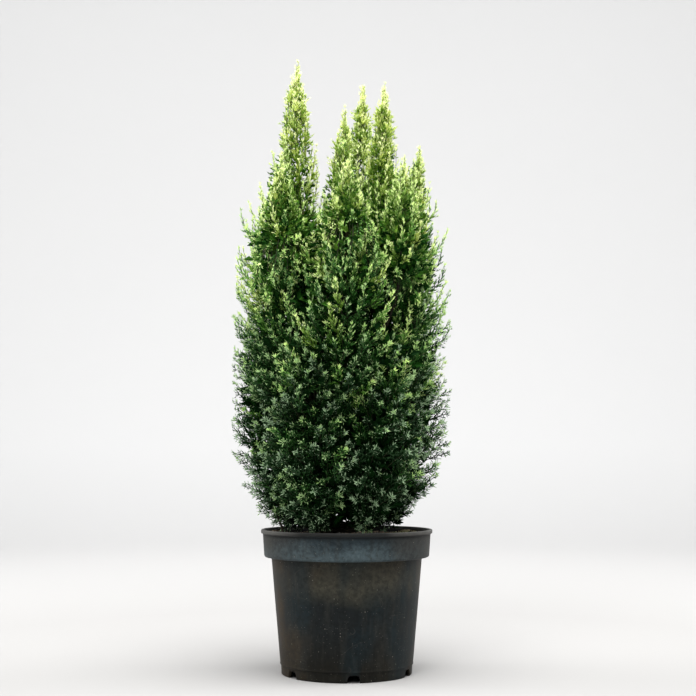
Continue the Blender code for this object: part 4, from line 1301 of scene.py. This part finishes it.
def pot_material(settings):
    """Black plastic, dusty and weathered, with painted light and shade: a reflection low on the collar's
    front, shadows under the collar and the lip, and highlights at the lip's sides.

    A cloud of noise shifts the height and the distance sideways that the colours go by.
    """
    made, tree, shader = principled("weathered_black_plastic", settings.plastic, 0.5, settings.gloss)
    axes = object_axes(tree)
    cloud = math_node(tree, "SUBTRACT", noise(tree, object_place(tree), 11.0, 4.0, 0.55), 0.5)
    fine = noise(tree, object_place(tree), 150.0, 6.0, 0.65)
    streaks = noise(tree, object_place(tree, (1.0, 1.0, 0.09)), 130.0, 5.0, 0.6)
    height = math_node(tree, "ADD", axes["Z"], math_node(tree, "MULTIPLY", cloud, 0.06))
    sideways = math_node(tree, "ABSOLUTE", axes["X"])
    sideways = math_node(tree, "ADD", sideways, math_node(tree, "MULTIPLY", cloud, 0.14))
    body = pot_body_colour(tree, axes["X"], height, sideways, settings)
    collar = pot_collar_colour(tree, axes["X"], height, sideways, settings)
    on_collar = math_node(tree, "GREATER_THAN", axes["Z"], COLLAR_FOOT_Z - 0.0004)
    colour = mix_colours(tree, on_collar, body, collar)
    colour = worn_colour(tree, colour, fine, streaks, settings)
    colour = lip_colour(tree, colour, axes["Z"], sideways, settings)
    feed(tree, shader.inputs["Base Color"], colour)
    rough = math_node(tree, "ADD", 0.42, math_node(tree, "MULTIPLY", fine, 0.3))
    feed(tree, shader.inputs["Roughness"], rough)
    relief = math_node(tree, "MULTIPLY", math_node(tree, "ADD", fine, streaks), 0.5)
    set_bump(tree, shader, relief, 0.3, 0.0008)
    return made


def floor_material(settings):
    """Plain studio floor, paler towards the wall."""
    made, tree, shader = principled("pale_floor", settings.floor, 0.8, 0.2)
    axes = object_axes(tree)
    squares = [math_node(tree, "MULTIPLY", axes[key], axes[key]) for key in ("X", "Y")]
    away = math_node(tree, "SQRT", math_node(tree, "ADD", *squares))
    share = math_node(tree, "DIVIDE", away, settings.floor_radius)
    start, end = FLOOR_COLOUR_PLACES
    colour = ramp(tree, share, (start, settings.floor), (end, settings.wall))
    feed(tree, shader.inputs["Base Color"], colour)
    return made


# Pot and compost


def rounded_profile(corners, step, arc_points):
    """A path through corners of radius, height and rounding, as an array of radius and height.

    Each rounded corner is a quadratic curve between the two points that lie its rounding away,
    and straight stretches get points no more than a step apart.
    """
    corners = np.array(corners)
    points = [corners[0, :2]]
    for before, corner, after in zip(corners, corners[1:], corners[2:]):
        place, rounding = corner[:2], corner[2]
        first = place + rounding * unit(before[:2] - place)
        last = place + rounding * unit(after[:2] - place)
        t = np.linspace(0.0, 1.0, arc_points)[:, None] if rounding else np.zeros((1, 1))
        points += list((1 - t) ** 2 * first + 2 * t * (1 - t) * place + t ** 2 * last)
    points.append(corners[-1, :2])
    path = [points[0]]
    for low, high in zip(points, points[1:]):
        count = max(1, math.ceil(np.linalg.norm(high - low) / step))
        path += [low + (high - low) * (index + 1) / count for index in range(count)]
    return np.array(path)


def pot_corners():
    """The wall from the middle of the underside, up the outside, over the lip and down inside."""
    lip_foot = RIM_Z - LIP_HEIGHT
    inside_foot = COLLAR_FOOT_RADIUS - POT_WALL
    return (
        (0.0, 0.0, 0.0),
        (PAD_RADIUS, 0.0, 0.0008),
        (PAD_RADIUS + 0.003, FLOOR_UNDERSIDE_Z, 0.0015),
        (FOOT_RADIUS - FOOT_WALL, FLOOR_UNDERSIDE_Z, 0.0012),
        (FOOT_RADIUS - FOOT_WALL, 0.0, 0.0008),
        (FOOT_RADIUS - 0.0008, 0.0, 0.0014),
        (FOOT_RADIUS, LEDGE_Z - 0.0020, 0.0006),
        (BODY_FOOT_RADIUS + 0.0002, LEDGE_Z - 0.0008, 0.0007),
        (BODY_FOOT_RADIUS - 0.0002, LEDGE_Z + 0.0022, 0.0008),
        (BODY_TOP_RADIUS, COLLAR_FOOT_Z - 0.0010, 0.0008),
        (COLLAR_FOOT_RADIUS, COLLAR_FOOT_Z, 0.0034),
        (COLLAR_TOP_RADIUS - 0.0002, lip_foot - 0.0008, 0.0008),
        (RIM_RADIUS, lip_foot + 0.0002, 0.0018),
        (RIM_RADIUS, RIM_Z, 0.0021),
        (RIM_RADIUS - LIP_WIDTH, RIM_Z, 0.0014),
        (COLLAR_TOP_RADIUS - POT_WALL, RIM_Z - 0.0035, 0.0010),
        (inside_foot, COLLAR_FOOT_Z + 0.004, 0.0020),
        (BODY_TOP_RADIUS - POT_WALL, COLLAR_FOOT_Z + 0.001, 0.0010),
        (BODY_FOOT_RADIUS - POT_WALL, FLOOR_TOP_Z, 0.0030),
        (0.0, FLOOR_TOP_Z, 0.0),
    )


def notch_height(angle):
    """Height of the drain notches at angles round the foot: a flat arch with soft shoulders."""
    pitch = 2.0 * math.pi / NOTCH_COUNT
    off = np.abs((angle - NOTCH_TURN + 0.5 * pitch) % pitch - 0.5 * pitch) * FOOT_RADIUS
    share = np.clip(off / (0.5 * NOTCH_WIDTH), 0.0, 1.0)
    return NOTCH_HEIGHT * np.sqrt(1.0 - share ** NOTCH_SHOULDER)


def close_poles(obj):
    """Merges the points that meet on the axis, and turns every face outwards."""
    shape = bmesh.new()
    shape.from_mesh(obj.data)
    bmesh.ops.remove_doubles(shape, verts=shape.verts, dist=POLE_GAP)
    bmesh.ops.recalc_face_normals(shape, faces=shape.faces)
    shape.to_mesh(obj.data)
    shape.free()


def turned_surface(radius, height, angle):
    """Rings of points about Z, from radii and heights by ring or by ring and angle."""
    ring = np.broadcast_arrays(radius * np.cos(angle), radius * np.sin(angle), height)
    return np.stack(ring, axis=-1)


def pot_surface(settings):
    """The profile turned round Z.

    The foot ring's underside is lifted to the notch height at its angle, and the collar is a
    little out of round, by a sine of twice the angle.
    """
    path = rounded_profile(pot_corners(), PROFILE_STEP, ARC_POINTS)
    radius, height = path[:, :1], path[:, 1:]
    angle = ring_angles(settings.pot_segments)
    in_foot = (radius > FOOT_RADIUS - FOOT_WALL - 0.0005) & (height < NOTCH_HEIGHT)
    height = np.where(in_foot, np.maximum(height, notch_height(angle)), height)
    pressed = 0.5 + 0.5 * np.sin(2.0 * angle + PRESSED_TURN)
    radius = radius * (1.0 - settings.out_of_round * pressed * (height / RIM_Z) ** 3)
    return turned_surface(radius, height, angle)


def wave_field(x, y, wavelength, count, rng):
    """Roughness as a sum of sines of random ways, phases and lengths, about one high."""
    turn = rng.uniform(0.0, 2.0 * math.pi, count)
    phase = rng.uniform(0.0, 2.0 * math.pi, count)
    wave = 2.0 * math.pi / (wavelength * rng.uniform(*WAVE_SPREAD, count))
    total = 0.0
    for index in range(count):
        along = x * math.cos(turn[index]) + y * math.sin(turn[index])
        total = total + np.sin(wave[index] * along + phase[index])
    return total / math.sqrt(count)


def soil_height(x, y):
    """The source's compost top: flat round the trunk, lumpy elsewhere, with mounds near the wall."""
    from_trunk = np.hypot(x - TRUNK_ROUTE[0][0], y - TRUNK_ROUTE[0][1])
    free = smooth_step((from_trunk - SOIL_FLAT_RADIUS) / SOIL_FLAT_EDGE)
    along_x, along_y, across = LUMP_WAVES
    start_x, start_y = LUMP_STARTS
    lumps = np.sin(along_x * x + start_x) * np.cos(along_y * y + start_y)
    lumps = lumps + CROSS_LUMPS * np.sin(across * (x + y))
    mounds = [high * np.exp(-((x - middle_x) ** 2 + (y - middle_y) ** 2) / wide ** 2)
              for middle_x, middle_y, high, wide in MOUNDS]
    return SOIL_Z + free * (SOIL_LUMP * lumps + np.max(mounds, axis=0))


def soil_surface(settings):
    """Rings from the middle out to the wall, then down inside it and in to the floor's middle."""
    rng = seeded("compost")
    collar = COLLAR_TOP_RADIUS - POT_WALL - SOIL_SIDE_GAP
    radius = collar * np.linspace(0.0, 1.0, settings.soil_rings)[:, None] ** SOIL_RING_POWER
    angle = ring_angles(SOIL_SIDES)
    x, y = radius * np.cos(angle), radius * np.sin(angle)
    rough = sum(share * wave_field(x, y, wavelength, count, rng)
                for share, wavelength, count in SOIL_ROUGHNESS)
    height = soil_height(x, y) + ROUGH_HEIGHT * rough * smooth_step(radius / SMOOTH_MIDDLE) - SOIL_SINK
    below = np.array((
        (collar - 0.0022, COLLAR_FOOT_Z + 0.006),
        (BODY_TOP_RADIUS - POT_WALL - 0.0006, COLLAR_FOOT_Z + 0.003),
        (BODY_FOOT_RADIUS - POT_WALL - 0.001, FLOOR_TOP_Z + 0.006),
        (0.0, FLOOR_TOP_Z + 0.0005),
    ))
    top = turned_surface(radius, height, angle)
    return np.concatenate([top, turned_surface(below[:, :1], below[:, 1:], angle)])


OCTAHEDRON = np.array([(1, 0, 0), (-1, 0, 0), (0, 1, 0), (0, -1, 0), (0, 0, 1), (0, 0, -1)], float)
OCTAHEDRON_FACES = np.array([
    (0, 2, 4), (2, 1, 4), (1, 3, 4), (3, 0, 4), (2, 0, 5), (1, 2, 5), (3, 1, 5), (0, 3, 5),
])


def chips(places, sizes, rng):
    """Bits as octahedra, stretched, turned at random and knocked out of true."""
    count, corners = len(places), len(OCTAHEDRON)
    axes = rng.normal(0.0, 1.0, (count, 3, 3))
    first = unit(axes[:, 0] * (1.0, 1.0, 0.4))
    second = across_from(first, axes[:, 1])
    turn = np.stack([first, second, np.cross(first, second)], axis=1)
    shape = OCTAHEDRON[None] * sizes[:, None] * rng.uniform(*BIT_KNOCKS, (count, corners, 1))
    points = places[:, None] + shape @ turn
    faces = OCTAHEDRON_FACES[None] + corners * np.arange(count)[:, None, None]
    return points.reshape(-1, 3), faces.reshape(-1, 3)


def scattered_on_soil(count, rng, centre=None, spread=0.0):
    """Places on the compost, all over it or round a centre."""
    if centre is None:
        radius = SCATTER_RADIUS * np.sqrt(rng.random(count))
        turn = rng.uniform(0.0, 2.0 * math.pi, count)
        x, y = radius * np.cos(turn), radius * np.sin(turn)
    else:
        x = centre[0] + rng.normal(0.0, spread, count)
        y = centre[1] + rng.normal(0.0, spread, count)
        far = np.maximum(np.hypot(x, y) / SCATTER_RADIUS, 1.0)
        x, y = x / far, y / far
    height = soil_height(x, y) + rng.uniform(*SCATTER_HEIGHTS, count)
    return np.stack([x, y, height], axis=1)


# Pieces


def join_kites(kites):
    """Points and triangles of kites, with equal windings."""
    faces = KITE_FACES[None] + 4 * np.arange(len(kites))[:, None, None]
    return kites.reshape(-1, 3), faces.reshape(-1, 3)


def tier_sprays(tier, settings):
    """The masses of a part of the crown, and all their sprays and leaders."""
    masses = [mass for mass in MASSES if tier_of(mass) == tier]
    plans = [plan_sprays(mass, settings) for mass in masses]
    plans += [plan_leaders(mass) for mass in masses if mass.pointed]
    return masses, merge(plans)


def inside_box(kites):
    """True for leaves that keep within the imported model's box."""
    low, high = np.array(CAD_LOW), np.array(CAD_HIGH)
    return np.all((kites > low) & (kites < high), axis=(1, 2))


def add_leaves(tier, settings, materials):
    """One piece for each tint and shade of the tier's leaves."""
    masses, sprays = tier_sprays(tier, settings)
    rng = seeded("leaves_" + tier)
    young = grow_fingers(sprays, grow_shoots(sprays, rng), settings, rng)
    old = merge([inner_fingers(mass, settings) for mass in masses])
    kites, classes = [], []
    growth = ((young, FINGER_LEAVES, shade_by_place), (old, OLD_LEAVES, all_inner))
    for fingers, pattern, shade_of_leaf in growth:
        keep = clear_of_pot_and_trunk(fingers)
        fingers = {key: value[keep] for key, value in fingers.items()}
        kites.append(leaf_kites(fingers, pattern).reshape(-1, 4, 3))
        classes.append(dealt_classes(fingers, pattern, shade_of_leaf).ravel())
    kites, classes = np.concatenate(kites), np.concatenate(classes)
    fits = inside_box(kites)
    kites, classes = kites[fits], classes[fits]
    for number in np.unique(classes):
        tint, shade = divmod(int(number), len(SHADES))
        points, faces = join_kites(kites[classes == number])
        obj = add_mesh(f"leaves_{tier}_{TINTS[tint]}_{SHADES[shade]}", points, faces, False)
        place_piece(obj, materials[number], f"foliage_{tier}", *nodes_named("foliage_" + tier))


def add_twigs(tier, settings, material):
    """The twig of every spray and the stem of every mass, joined."""
    masses, sprays = tier_sprays(tier, settings)
    along = np.linspace(0.0, TWIG_END, TWIG_RINGS)
    shape = (len(sprays["cap"]), TWIG_RINGS)
    twigs = bezier(sprays["handles"], np.broadcast_to(along, shape))
    radii = np.broadcast_to(settings.twig_radius * (1.0 - TWIG_TAPER * along), shape)
    points, faces = thin_tubes(twigs, radii)
    stems = []
    for mass in masses:
        stem = mass.stem_at(np.linspace(mass.core_low, mass.core_high, STEM_RINGS))
        if mass.bough_height is not None:
            stem[0] = mass.stem_foot
        stems.append(stem)
    radii = np.linspace(STEM_RADIUS, STEM_TAPER * STEM_RADIUS, STEM_RINGS)
    radii = np.broadcast_to(radii, (len(stems), STEM_RINGS))
    stem_points, stem_faces = thin_tubes(np.stack(stems), radii, STEM_SIDES)
    faces = np.concatenate([faces, stem_faces + len(points)])
    obj = add_mesh(f"twigs_{tier}", np.concatenate([points, stem_points]), faces, True)
    place_piece(obj, material, "bark", *nodes_named("foliage_" + tier))


def add_limbs(name, surfaces, material, *nodes):
    """One piece of bark for many limbs."""
    points, faces = join_limbs(surfaces)
    place_piece(add_mesh(name, points, faces, True), material, "bark", *nodes)


def add_bark(settings):
    """Trunk with its root flare, boughs and side stem, each in bark relief."""
    material = bark_material(settings)
    rng = seeded("bark")
    route = trunk_route(settings.trunk_rings)
    route[0, 2] -= settings.trunk_foot_depth
    trunk = limb_surface(route, trunk_radius(route[:, 2]), settings.trunk_sides, *TRUNK_FISSURES, rng)
    add_limbs("trunk_bark", [trunk], material, "trunk")
    boughs = []
    for mass in MASSES:
        if mass.bough_height is not None:
            route, radii = bough_route(mass, settings.bough_rings)
            boughs.append(limb_surface(route, radii, settings.bough_sides, *BOUGH_FISSURES, rng))
    add_limbs("bough_bark", boughs, material, *nodes_named("bough_"))
    foot = np.array([*SIDE_STEM_FOOT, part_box("side_stem")[0][2]])
    tip = np.array(SIDE_STEM_TIP)
    route = limb_route(foot, UP, SIDE_STEM_TURN, tip, unit(tip - foot), SIDE_STEM_TURN, SIDE_STEM_RINGS)
    route[0, 2] -= settings.trunk_foot_depth
    radii = np.linspace(SIDE_STEM_FOOT_RADIUS, SIDE_STEM_TIP_RADIUS, len(route))
    side_stem = limb_surface(route, radii, SIDE_STEM_SIDES, *SIDE_STEM_FISSURES, rng)
    add_limbs("side_stem_bark", [side_stem], material, "side_stem")


def add_bits(name, places, sizes, material, rng):
    """One piece for many loose bits."""
    points, faces = chips(places, sizes, rng)
    place_piece(add_mesh(name, points, faces, False), material, "compost", "root_ball")


def add_compost(settings):
    """The compost with its lumps, and loose bits of bark and moss on it."""
    compost = add_rings("compost_top", soil_surface(settings))
    close_poles(compost)
    place_piece(compost, compost_material(settings), "compost", "root_ball")
    rng = seeded("bits")
    count = settings.bark_bits
    heaped = round(HEAPED_BITS * count)
    places = [scattered_on_soil(count - len(HEAP_SPREADS) * heaped, rng)]
    for mound, spread in zip(MOUNDS[1:], HEAP_SPREADS):
        places.append(scattered_on_soil(heaped, rng, mound[:2], spread))
    places = np.concatenate(places)
    sizes = rng.uniform(*BIT_SIZES, (count, 1)) * BIT_SHAPE
    dark = rng.random(count) < DARK_BITS
    kinds = (("dark_bark_bits", settings.dark_bits, dark), ("bark_bits", settings.bits, ~dark))
    for name, colour, which in kinds:
        add_bits(name, places[which], sizes[which], chip_material(name, colour), rng)
    count = settings.moss_bits
    places = scattered_on_soil(count, rng, MOSS_PLACE, MOSS_SPREAD)
    sizes = rng.uniform(*MOSS_SIZES, (count, 1)) * MOSS_SHAPE
    add_bits("moss_bits", places, sizes, chip_material("moss", settings.moss), rng)


def add_pot(settings):
    """The pot with its lip, collar, body and notched foot."""
    pot = add_rings("nursery_pot", pot_surface(settings))
    close_poles(pot)
    place_piece(pot, pot_material(settings), "pot_plastic", "pot")


def add_area_light(name, location, aim, size, power):
    """A round light that faces its aim."""
    light = bpy.data.lights.new(name, "AREA")
    light.shape = "DISK"
    light.size = size
    light.energy = power
    obj = bpy.data.objects.new(name, light)
    obj.location = location
    obj.rotation_euler = Vector(aim - np.array(location)).to_track_quat("-Z", "Y").to_euler()
    bpy.context.scene.collection.objects.link(obj)


def add_soft_world(strength):
    """White light from all round."""
    world = bpy.data.worlds.new("soft_world")
    world.use_nodes = True
    background = world.node_tree.nodes["Background"]
    background.inputs["Color"].default_value = (1.0, 1.0, 1.0, 1.0)
    background.inputs["Strength"].default_value = strength
    bpy.context.scene.world = world


def add_camera(settings):
    """A camera in front of the plant, level across and a little pitched."""
    camera = bpy.data.cameras.new("camera")
    camera.lens = settings.lens
    camera.sensor_width = SENSOR_WIDTH
    camera.clip_end = FAR_CLIP
    obj = bpy.data.objects.new("camera", camera)
    obj.location = settings.camera_place
    obj.rotation_euler = (math.radians(90.0) + settings.camera_pitch, 0.0, 0.0)
    bpy.context.scene.collection.objects.link(obj)
    bpy.context.scene.camera = obj


def set_the_stage(settings):
    """A pale round floor that curves up to a wall all round, soft light from above, the camera."""
    middle, edge = (0.0, 0.0, 0.0), (settings.floor_radius, 0.0, WALL_CURVE)
    top = (settings.floor_radius, WALL_HEIGHT, 0.0)
    path = rounded_profile((middle, edge, top), FLOOR_STEP, FLOOR_ARC_POINTS)
    floor = add_rings("studio_floor", turned_surface(path[:, :1], path[:, 1:], ring_angles(FLOOR_SIDES)))
    floor.data.materials.append(floor_material(settings))
    for name, power, location, aim, size in LIGHTS:
        add_area_light(name, location, aim, size, getattr(settings, power))
    add_soft_world(settings.world_strength)
    bpy.context.scene.view_settings.view_transform = "Standard"
    add_camera(settings)


# Settings


def colour_setting(name, description, default):
    """A colour in the panel."""
    return FloatVectorProperty(
        name=name, description=description, default=default, size=3, subtype="COLOR", min=0.0, max=1.0)


class FoliageSettings(bpy.types.PropertyGroup):
    """How much foliage there is, and its colours by height and by shade"""
    low_sprays: IntProperty(
        name="Low sprays", description="Sprays in each low mass", default=104, min=1)
    middle_sprays: IntProperty(
        name="Middle sprays", description="Sprays in each middle mass", default=114, min=1)
    peak_sprays: IntProperty(
        name="Peak sprays", description="Sprays in a pointed mass of usual height", default=90, min=1)
    old_fingers: IntProperty(
        name="Old growth", description="Old inner fingers in each mass", default=760, min=1)
    leafy_length: FloatProperty(
        name="Leafy length", description="Length of a spray's leafy end", default=0.055, unit="LENGTH")
    finger_length: FloatProperty(
        name="Finger length", description="Length of the last branchlets", default=0.0088, unit="LENGTH")
    twig_radius: FloatProperty(
        name="Twig radius", description="Radius at the foot of a spray", default=0.0009, unit="LENGTH")
    # By height the colours are partly painted light from above; inner colours are partly painted shade, tip
    # colours partly painted highlight
    low_inner: colour_setting("Low inner", "Inner leaves at the foot", (0.003, 0.017, 0.003))
    middle_inner: colour_setting("Middle inner", "Inner leaves half way up", (0.009, 0.044, 0.005))
    upper_inner: colour_setting("Upper inner", "Inner leaves under the peaks", (0.042, 0.125, 0.014))
    high_inner: colour_setting("High inner", "Inner leaves at the top", (0.230, 0.380, 0.050))
    low_blade: colour_setting("Low blade", "Leaves at the foot", (0.026, 0.066, 0.025))
    middle_blade: colour_setting("Middle blade", "Leaves half way up", (0.052, 0.150, 0.032))
    upper_blade: colour_setting("Upper blade", "Leaves under the peaks", (0.160, 0.345, 0.066))
    high_blade: colour_setting("High blade", "Leaves at the top", (0.630, 0.715, 0.185))
    low_tip: colour_setting("Low tip", "Leaf tips at the foot", (0.300, 0.430, 0.255))
    middle_tip: colour_setting("Middle tip", "Leaf tips half way up", (0.450, 0.665, 0.230))
    upper_tip: colour_setting("Upper tip", "Leaf tips under the peaks", (0.710, 0.885, 0.335))
    high_tip: colour_setting("High tip", "Leaf tips at the top", (0.900, 0.940, 0.510))
    twig: colour_setting("Twigs", "Young twigs", (0.028, 0.030, 0.012))


class BarkSettings(bpy.types.PropertyGroup):
    """Colours and fineness of the bark"""
    bark: colour_setting("Bark", "Bark of the trunk and boughs", (0.027, 0.022, 0.013))
    bark_weathered: colour_setting("Weathered bark", "Ridges of the bark", (0.055, 0.049, 0.033))
    young_bark: colour_setting("Young bark", "Upper trunk, sheathed in scale leaves", (0.170, 0.200, 0.045))
    trunk_rings: IntProperty(name="Trunk rings", description="Rings up the trunk", default=320, min=16)
    trunk_sides: IntProperty(name="Trunk sides", description="Sides of the trunk", default=48, min=6)
    bough_rings: IntProperty(name="Bough rings", description="Rings along each bough", default=60, min=8)
    bough_sides: IntProperty(name="Bough sides", description="Sides of each bough", default=16, min=6)
    trunk_foot_depth: FloatProperty(
        name="Foot depth", description="How far the stems go into the compost", default=0.003,
        unit="LENGTH")


class CompostSettings(bpy.types.PropertyGroup):
    """Colours of the compost and how many bits lie on it"""
    compost: colour_setting("Compost", "Damp peat", (0.034, 0.024, 0.015))
    compost_crumbs: colour_setting("Crumbs", "Dry crumbs", (0.150, 0.118, 0.078))
    dark_bits: colour_setting("Dark bits", "Wet bark bits", (0.040, 0.027, 0.017))
    bits: colour_setting("Bits", "Dry bark bits", (0.380, 0.290, 0.190))
    moss: colour_setting("Moss", "Moss and pale bits", (0.320, 0.340, 0.150))
    soil_rings: IntProperty(name="Rings", description="Rings of the compost's top", default=110, min=8)
    bark_bits: IntProperty(name="Bark bits", description="Loose bits of bark", default=2600, min=1)
    moss_bits: IntProperty(name="Moss bits", description="Bits of moss", default=420, min=1)


class PotSettings(bpy.types.PropertyGroup):
    """Colours and shape of the pot"""
    pot_segments: IntProperty(name="Segments", description="Segments round the pot", default=432, min=48)
    out_of_round: FloatProperty(
        name="Out of round", description="Share by which the rim is pressed in", default=0.004)
    gloss: FloatProperty(
        name="Gloss", description="How much the plastic reflects", default=0.12, min=0.0, max=1.0)
    plastic: colour_setting("Plastic", "Middle of the body", (0.0075, 0.0100, 0.0105))
    foot_plastic: colour_setting("Foot", "Foot of the body", (0.0080, 0.0075, 0.0050))
    # Under the collar: dust with painted light from above
    dusty_lit_plastic: colour_setting("Dusty plastic", "Under the collar", (0.0460, 0.0435, 0.0315))
    side_plastic: colour_setting("Side plastic", "Sides of the body", (0.0380, 0.0270, 0.0150))
    teal_plastic: colour_setting("Teal plastic", "Blue green patches", (0.0060, 0.0150, 0.0190))
    collar_plastic: colour_setting("Collar plastic", "Front of the collar", (0.0130, 0.0210, 0.0260))
    # The collar's sides: dust and painted light. Its smears: a painted reflection
    collar_sides_dust_and_light: colour_setting("Collar sides", "Sides of the collar", (0.0320, 0.0310, 0.0270))
    collar_reflection: colour_setting("Blue plastic", "Smears on the collar", (0.0720, 0.1010, 0.1110))
    dust: colour_setting("Dust", "Dust in streaks", (0.0400, 0.0390, 0.0320))
    specks: colour_setting("Specks", "Pale specks", (0.1600, 0.1500, 0.1250))
    # Wear on the lip and a painted highlight at its sides
    worn_and_lit_lip: colour_setting("Worn lip", "Worn edge of the lip", (0.0800, 0.0780, 0.0720))


class StageSettings(bpy.types.PropertyGroup):
    """The floor, the lights and the camera"""
    floor: colour_setting("Floor", "Floor round the pot", (0.33, 0.325, 0.32))
    wall: colour_setting("Wall", "Wall all round", (0.62, 0.62, 0.62))
    floor_radius: FloatProperty(
        name="Floor radius", description="Radius of the floor", default=6.0, unit="LENGTH")
    overhead_power: FloatProperty(
        name="Overhead power", description="Light above", default=120.0, unit="POWER")
    front_power: FloatProperty(
        name="Front power", description="Light in front", default=44.0, unit="POWER")
    side_power: FloatProperty(
        name="Side power", description="Lights at both sides", default=45.0, unit="POWER")
    backdrop_power: FloatProperty(
        name="Backdrop power", description="Light on the wall behind", default=150.0, unit="POWER")
    world_strength: FloatProperty(
        name="World strength", description="Light from all round", default=0.70)
    lens: FloatProperty(name="Lens", description="Focal length", default=65.45, unit="CAMERA")
    camera_pitch: FloatProperty(
        name="Camera pitch", description="How far the camera looks up", default=math.radians(5.337),
        unit="ROTATION")
    camera_place: FloatVectorProperty(
        name="Camera place", description="Where the camera stands", default=(0.0021, -2.085, 0.332),
        unit="LENGTH")


# Operators


class GrowFoliage(bpy.types.Operator):
    """Grow the sprays of scale leaves and their twigs"""
    bl_idname = "cypress.grow_foliage"
    bl_label = "Grow Foliage"

    def execute(self, context):
        settings = context.scene.cypress_foliage
        kinds = [(tint, shade) for tint in range(len(TINTS)) for shade in range(len(SHADES))]
        materials = [leaf_material(settings, tint, shade) for tint, shade in kinds]
        twigs = twig_material(settings)
        for tier in TIERS:
            add_leaves(tier, settings, materials)
            add_twigs(tier, settings, twigs)
        return {"FINISHED"}


class CoverLimbs(bpy.types.Operator):
    """Cover the trunk, the boughs and the side stem with bark"""
    bl_idname = "cypress.cover_limbs"
    bl_label = "Cover Limbs"

    def execute(self, context):
        add_bark(context.scene.cypress_bark)
        return {"FINISHED"}


class FillCompost(bpy.types.Operator):
    """Fill the pot with compost"""
    bl_idname = "cypress.fill_compost"
    bl_label = "Fill Compost"

    def execute(self, context):
        add_compost(context.scene.cypress_compost)
        return {"FINISHED"}


class TurnPot(bpy.types.Operator):
    """Turn the plastic pot"""
    bl_idname = "cypress.turn_pot"
    bl_label = "Turn Pot"

    def execute(self, context):
        add_pot(context.scene.cypress_pot)
        return {"FINISHED"}


class SetStage(bpy.types.Operator):
    """Set the floor, the lights and the camera"""
    bl_idname = "cypress.set_stage"
    bl_label = "Set Stage"

    def execute(self, context):
        set_the_stage(context.scene.cypress_stage)
        return {"FINISHED"}


class CypressPanel(bpy.types.Panel):
    """Settings and steps of the potted cypress"""
    bl_idname = "VIEW3D_PT_cypress"
    bl_label = "Potted Lawson Cypress"
    bl_space_type = "VIEW_3D"
    bl_region_type = "UI"
    bl_category = "Cypress"

    def draw(self, context):
        for operator, name, _ in STEPS:
            box = self.layout.box()
            for key in getattr(context.scene, name).__annotations__:
                box.prop(getattr(context.scene, name), key)
            box.operator(operator.bl_idname)


STEPS = (
    (GrowFoliage, "cypress_foliage", FoliageSettings),
    (CoverLimbs, "cypress_bark", BarkSettings),
    (FillCompost, "cypress_compost", CompostSettings),
    (TurnPot, "cypress_pot", PotSettings),
    (SetStage, "cypress_stage", StageSettings),
)


def register():
    """Registers the settings, the operators and the panel."""
    for operator, name, settings in STEPS:
        bpy.utils.register_class(settings)
        bpy.utils.register_class(operator)
        setattr(bpy.types.Scene, name, PointerProperty(type=settings))
    bpy.utils.register_class(CypressPanel)


def unregister():
    """Takes away what register added."""
    bpy.utils.unregister_class(CypressPanel)
    for operator, name, settings in reversed(STEPS):
        delattr(bpy.types.Scene, name)
        bpy.utils.unregister_class(operator)
        bpy.utils.unregister_class(settings)


def main():
    register()
    bpy.ops.cypress.grow_foliage()
    bpy.ops.cypress.cover_limbs()
    bpy.ops.cypress.fill_compost()
    bpy.ops.cypress.turn_pot()
    bpy.ops.cypress.set_stage()


if __name__ == "__main__":
    main()
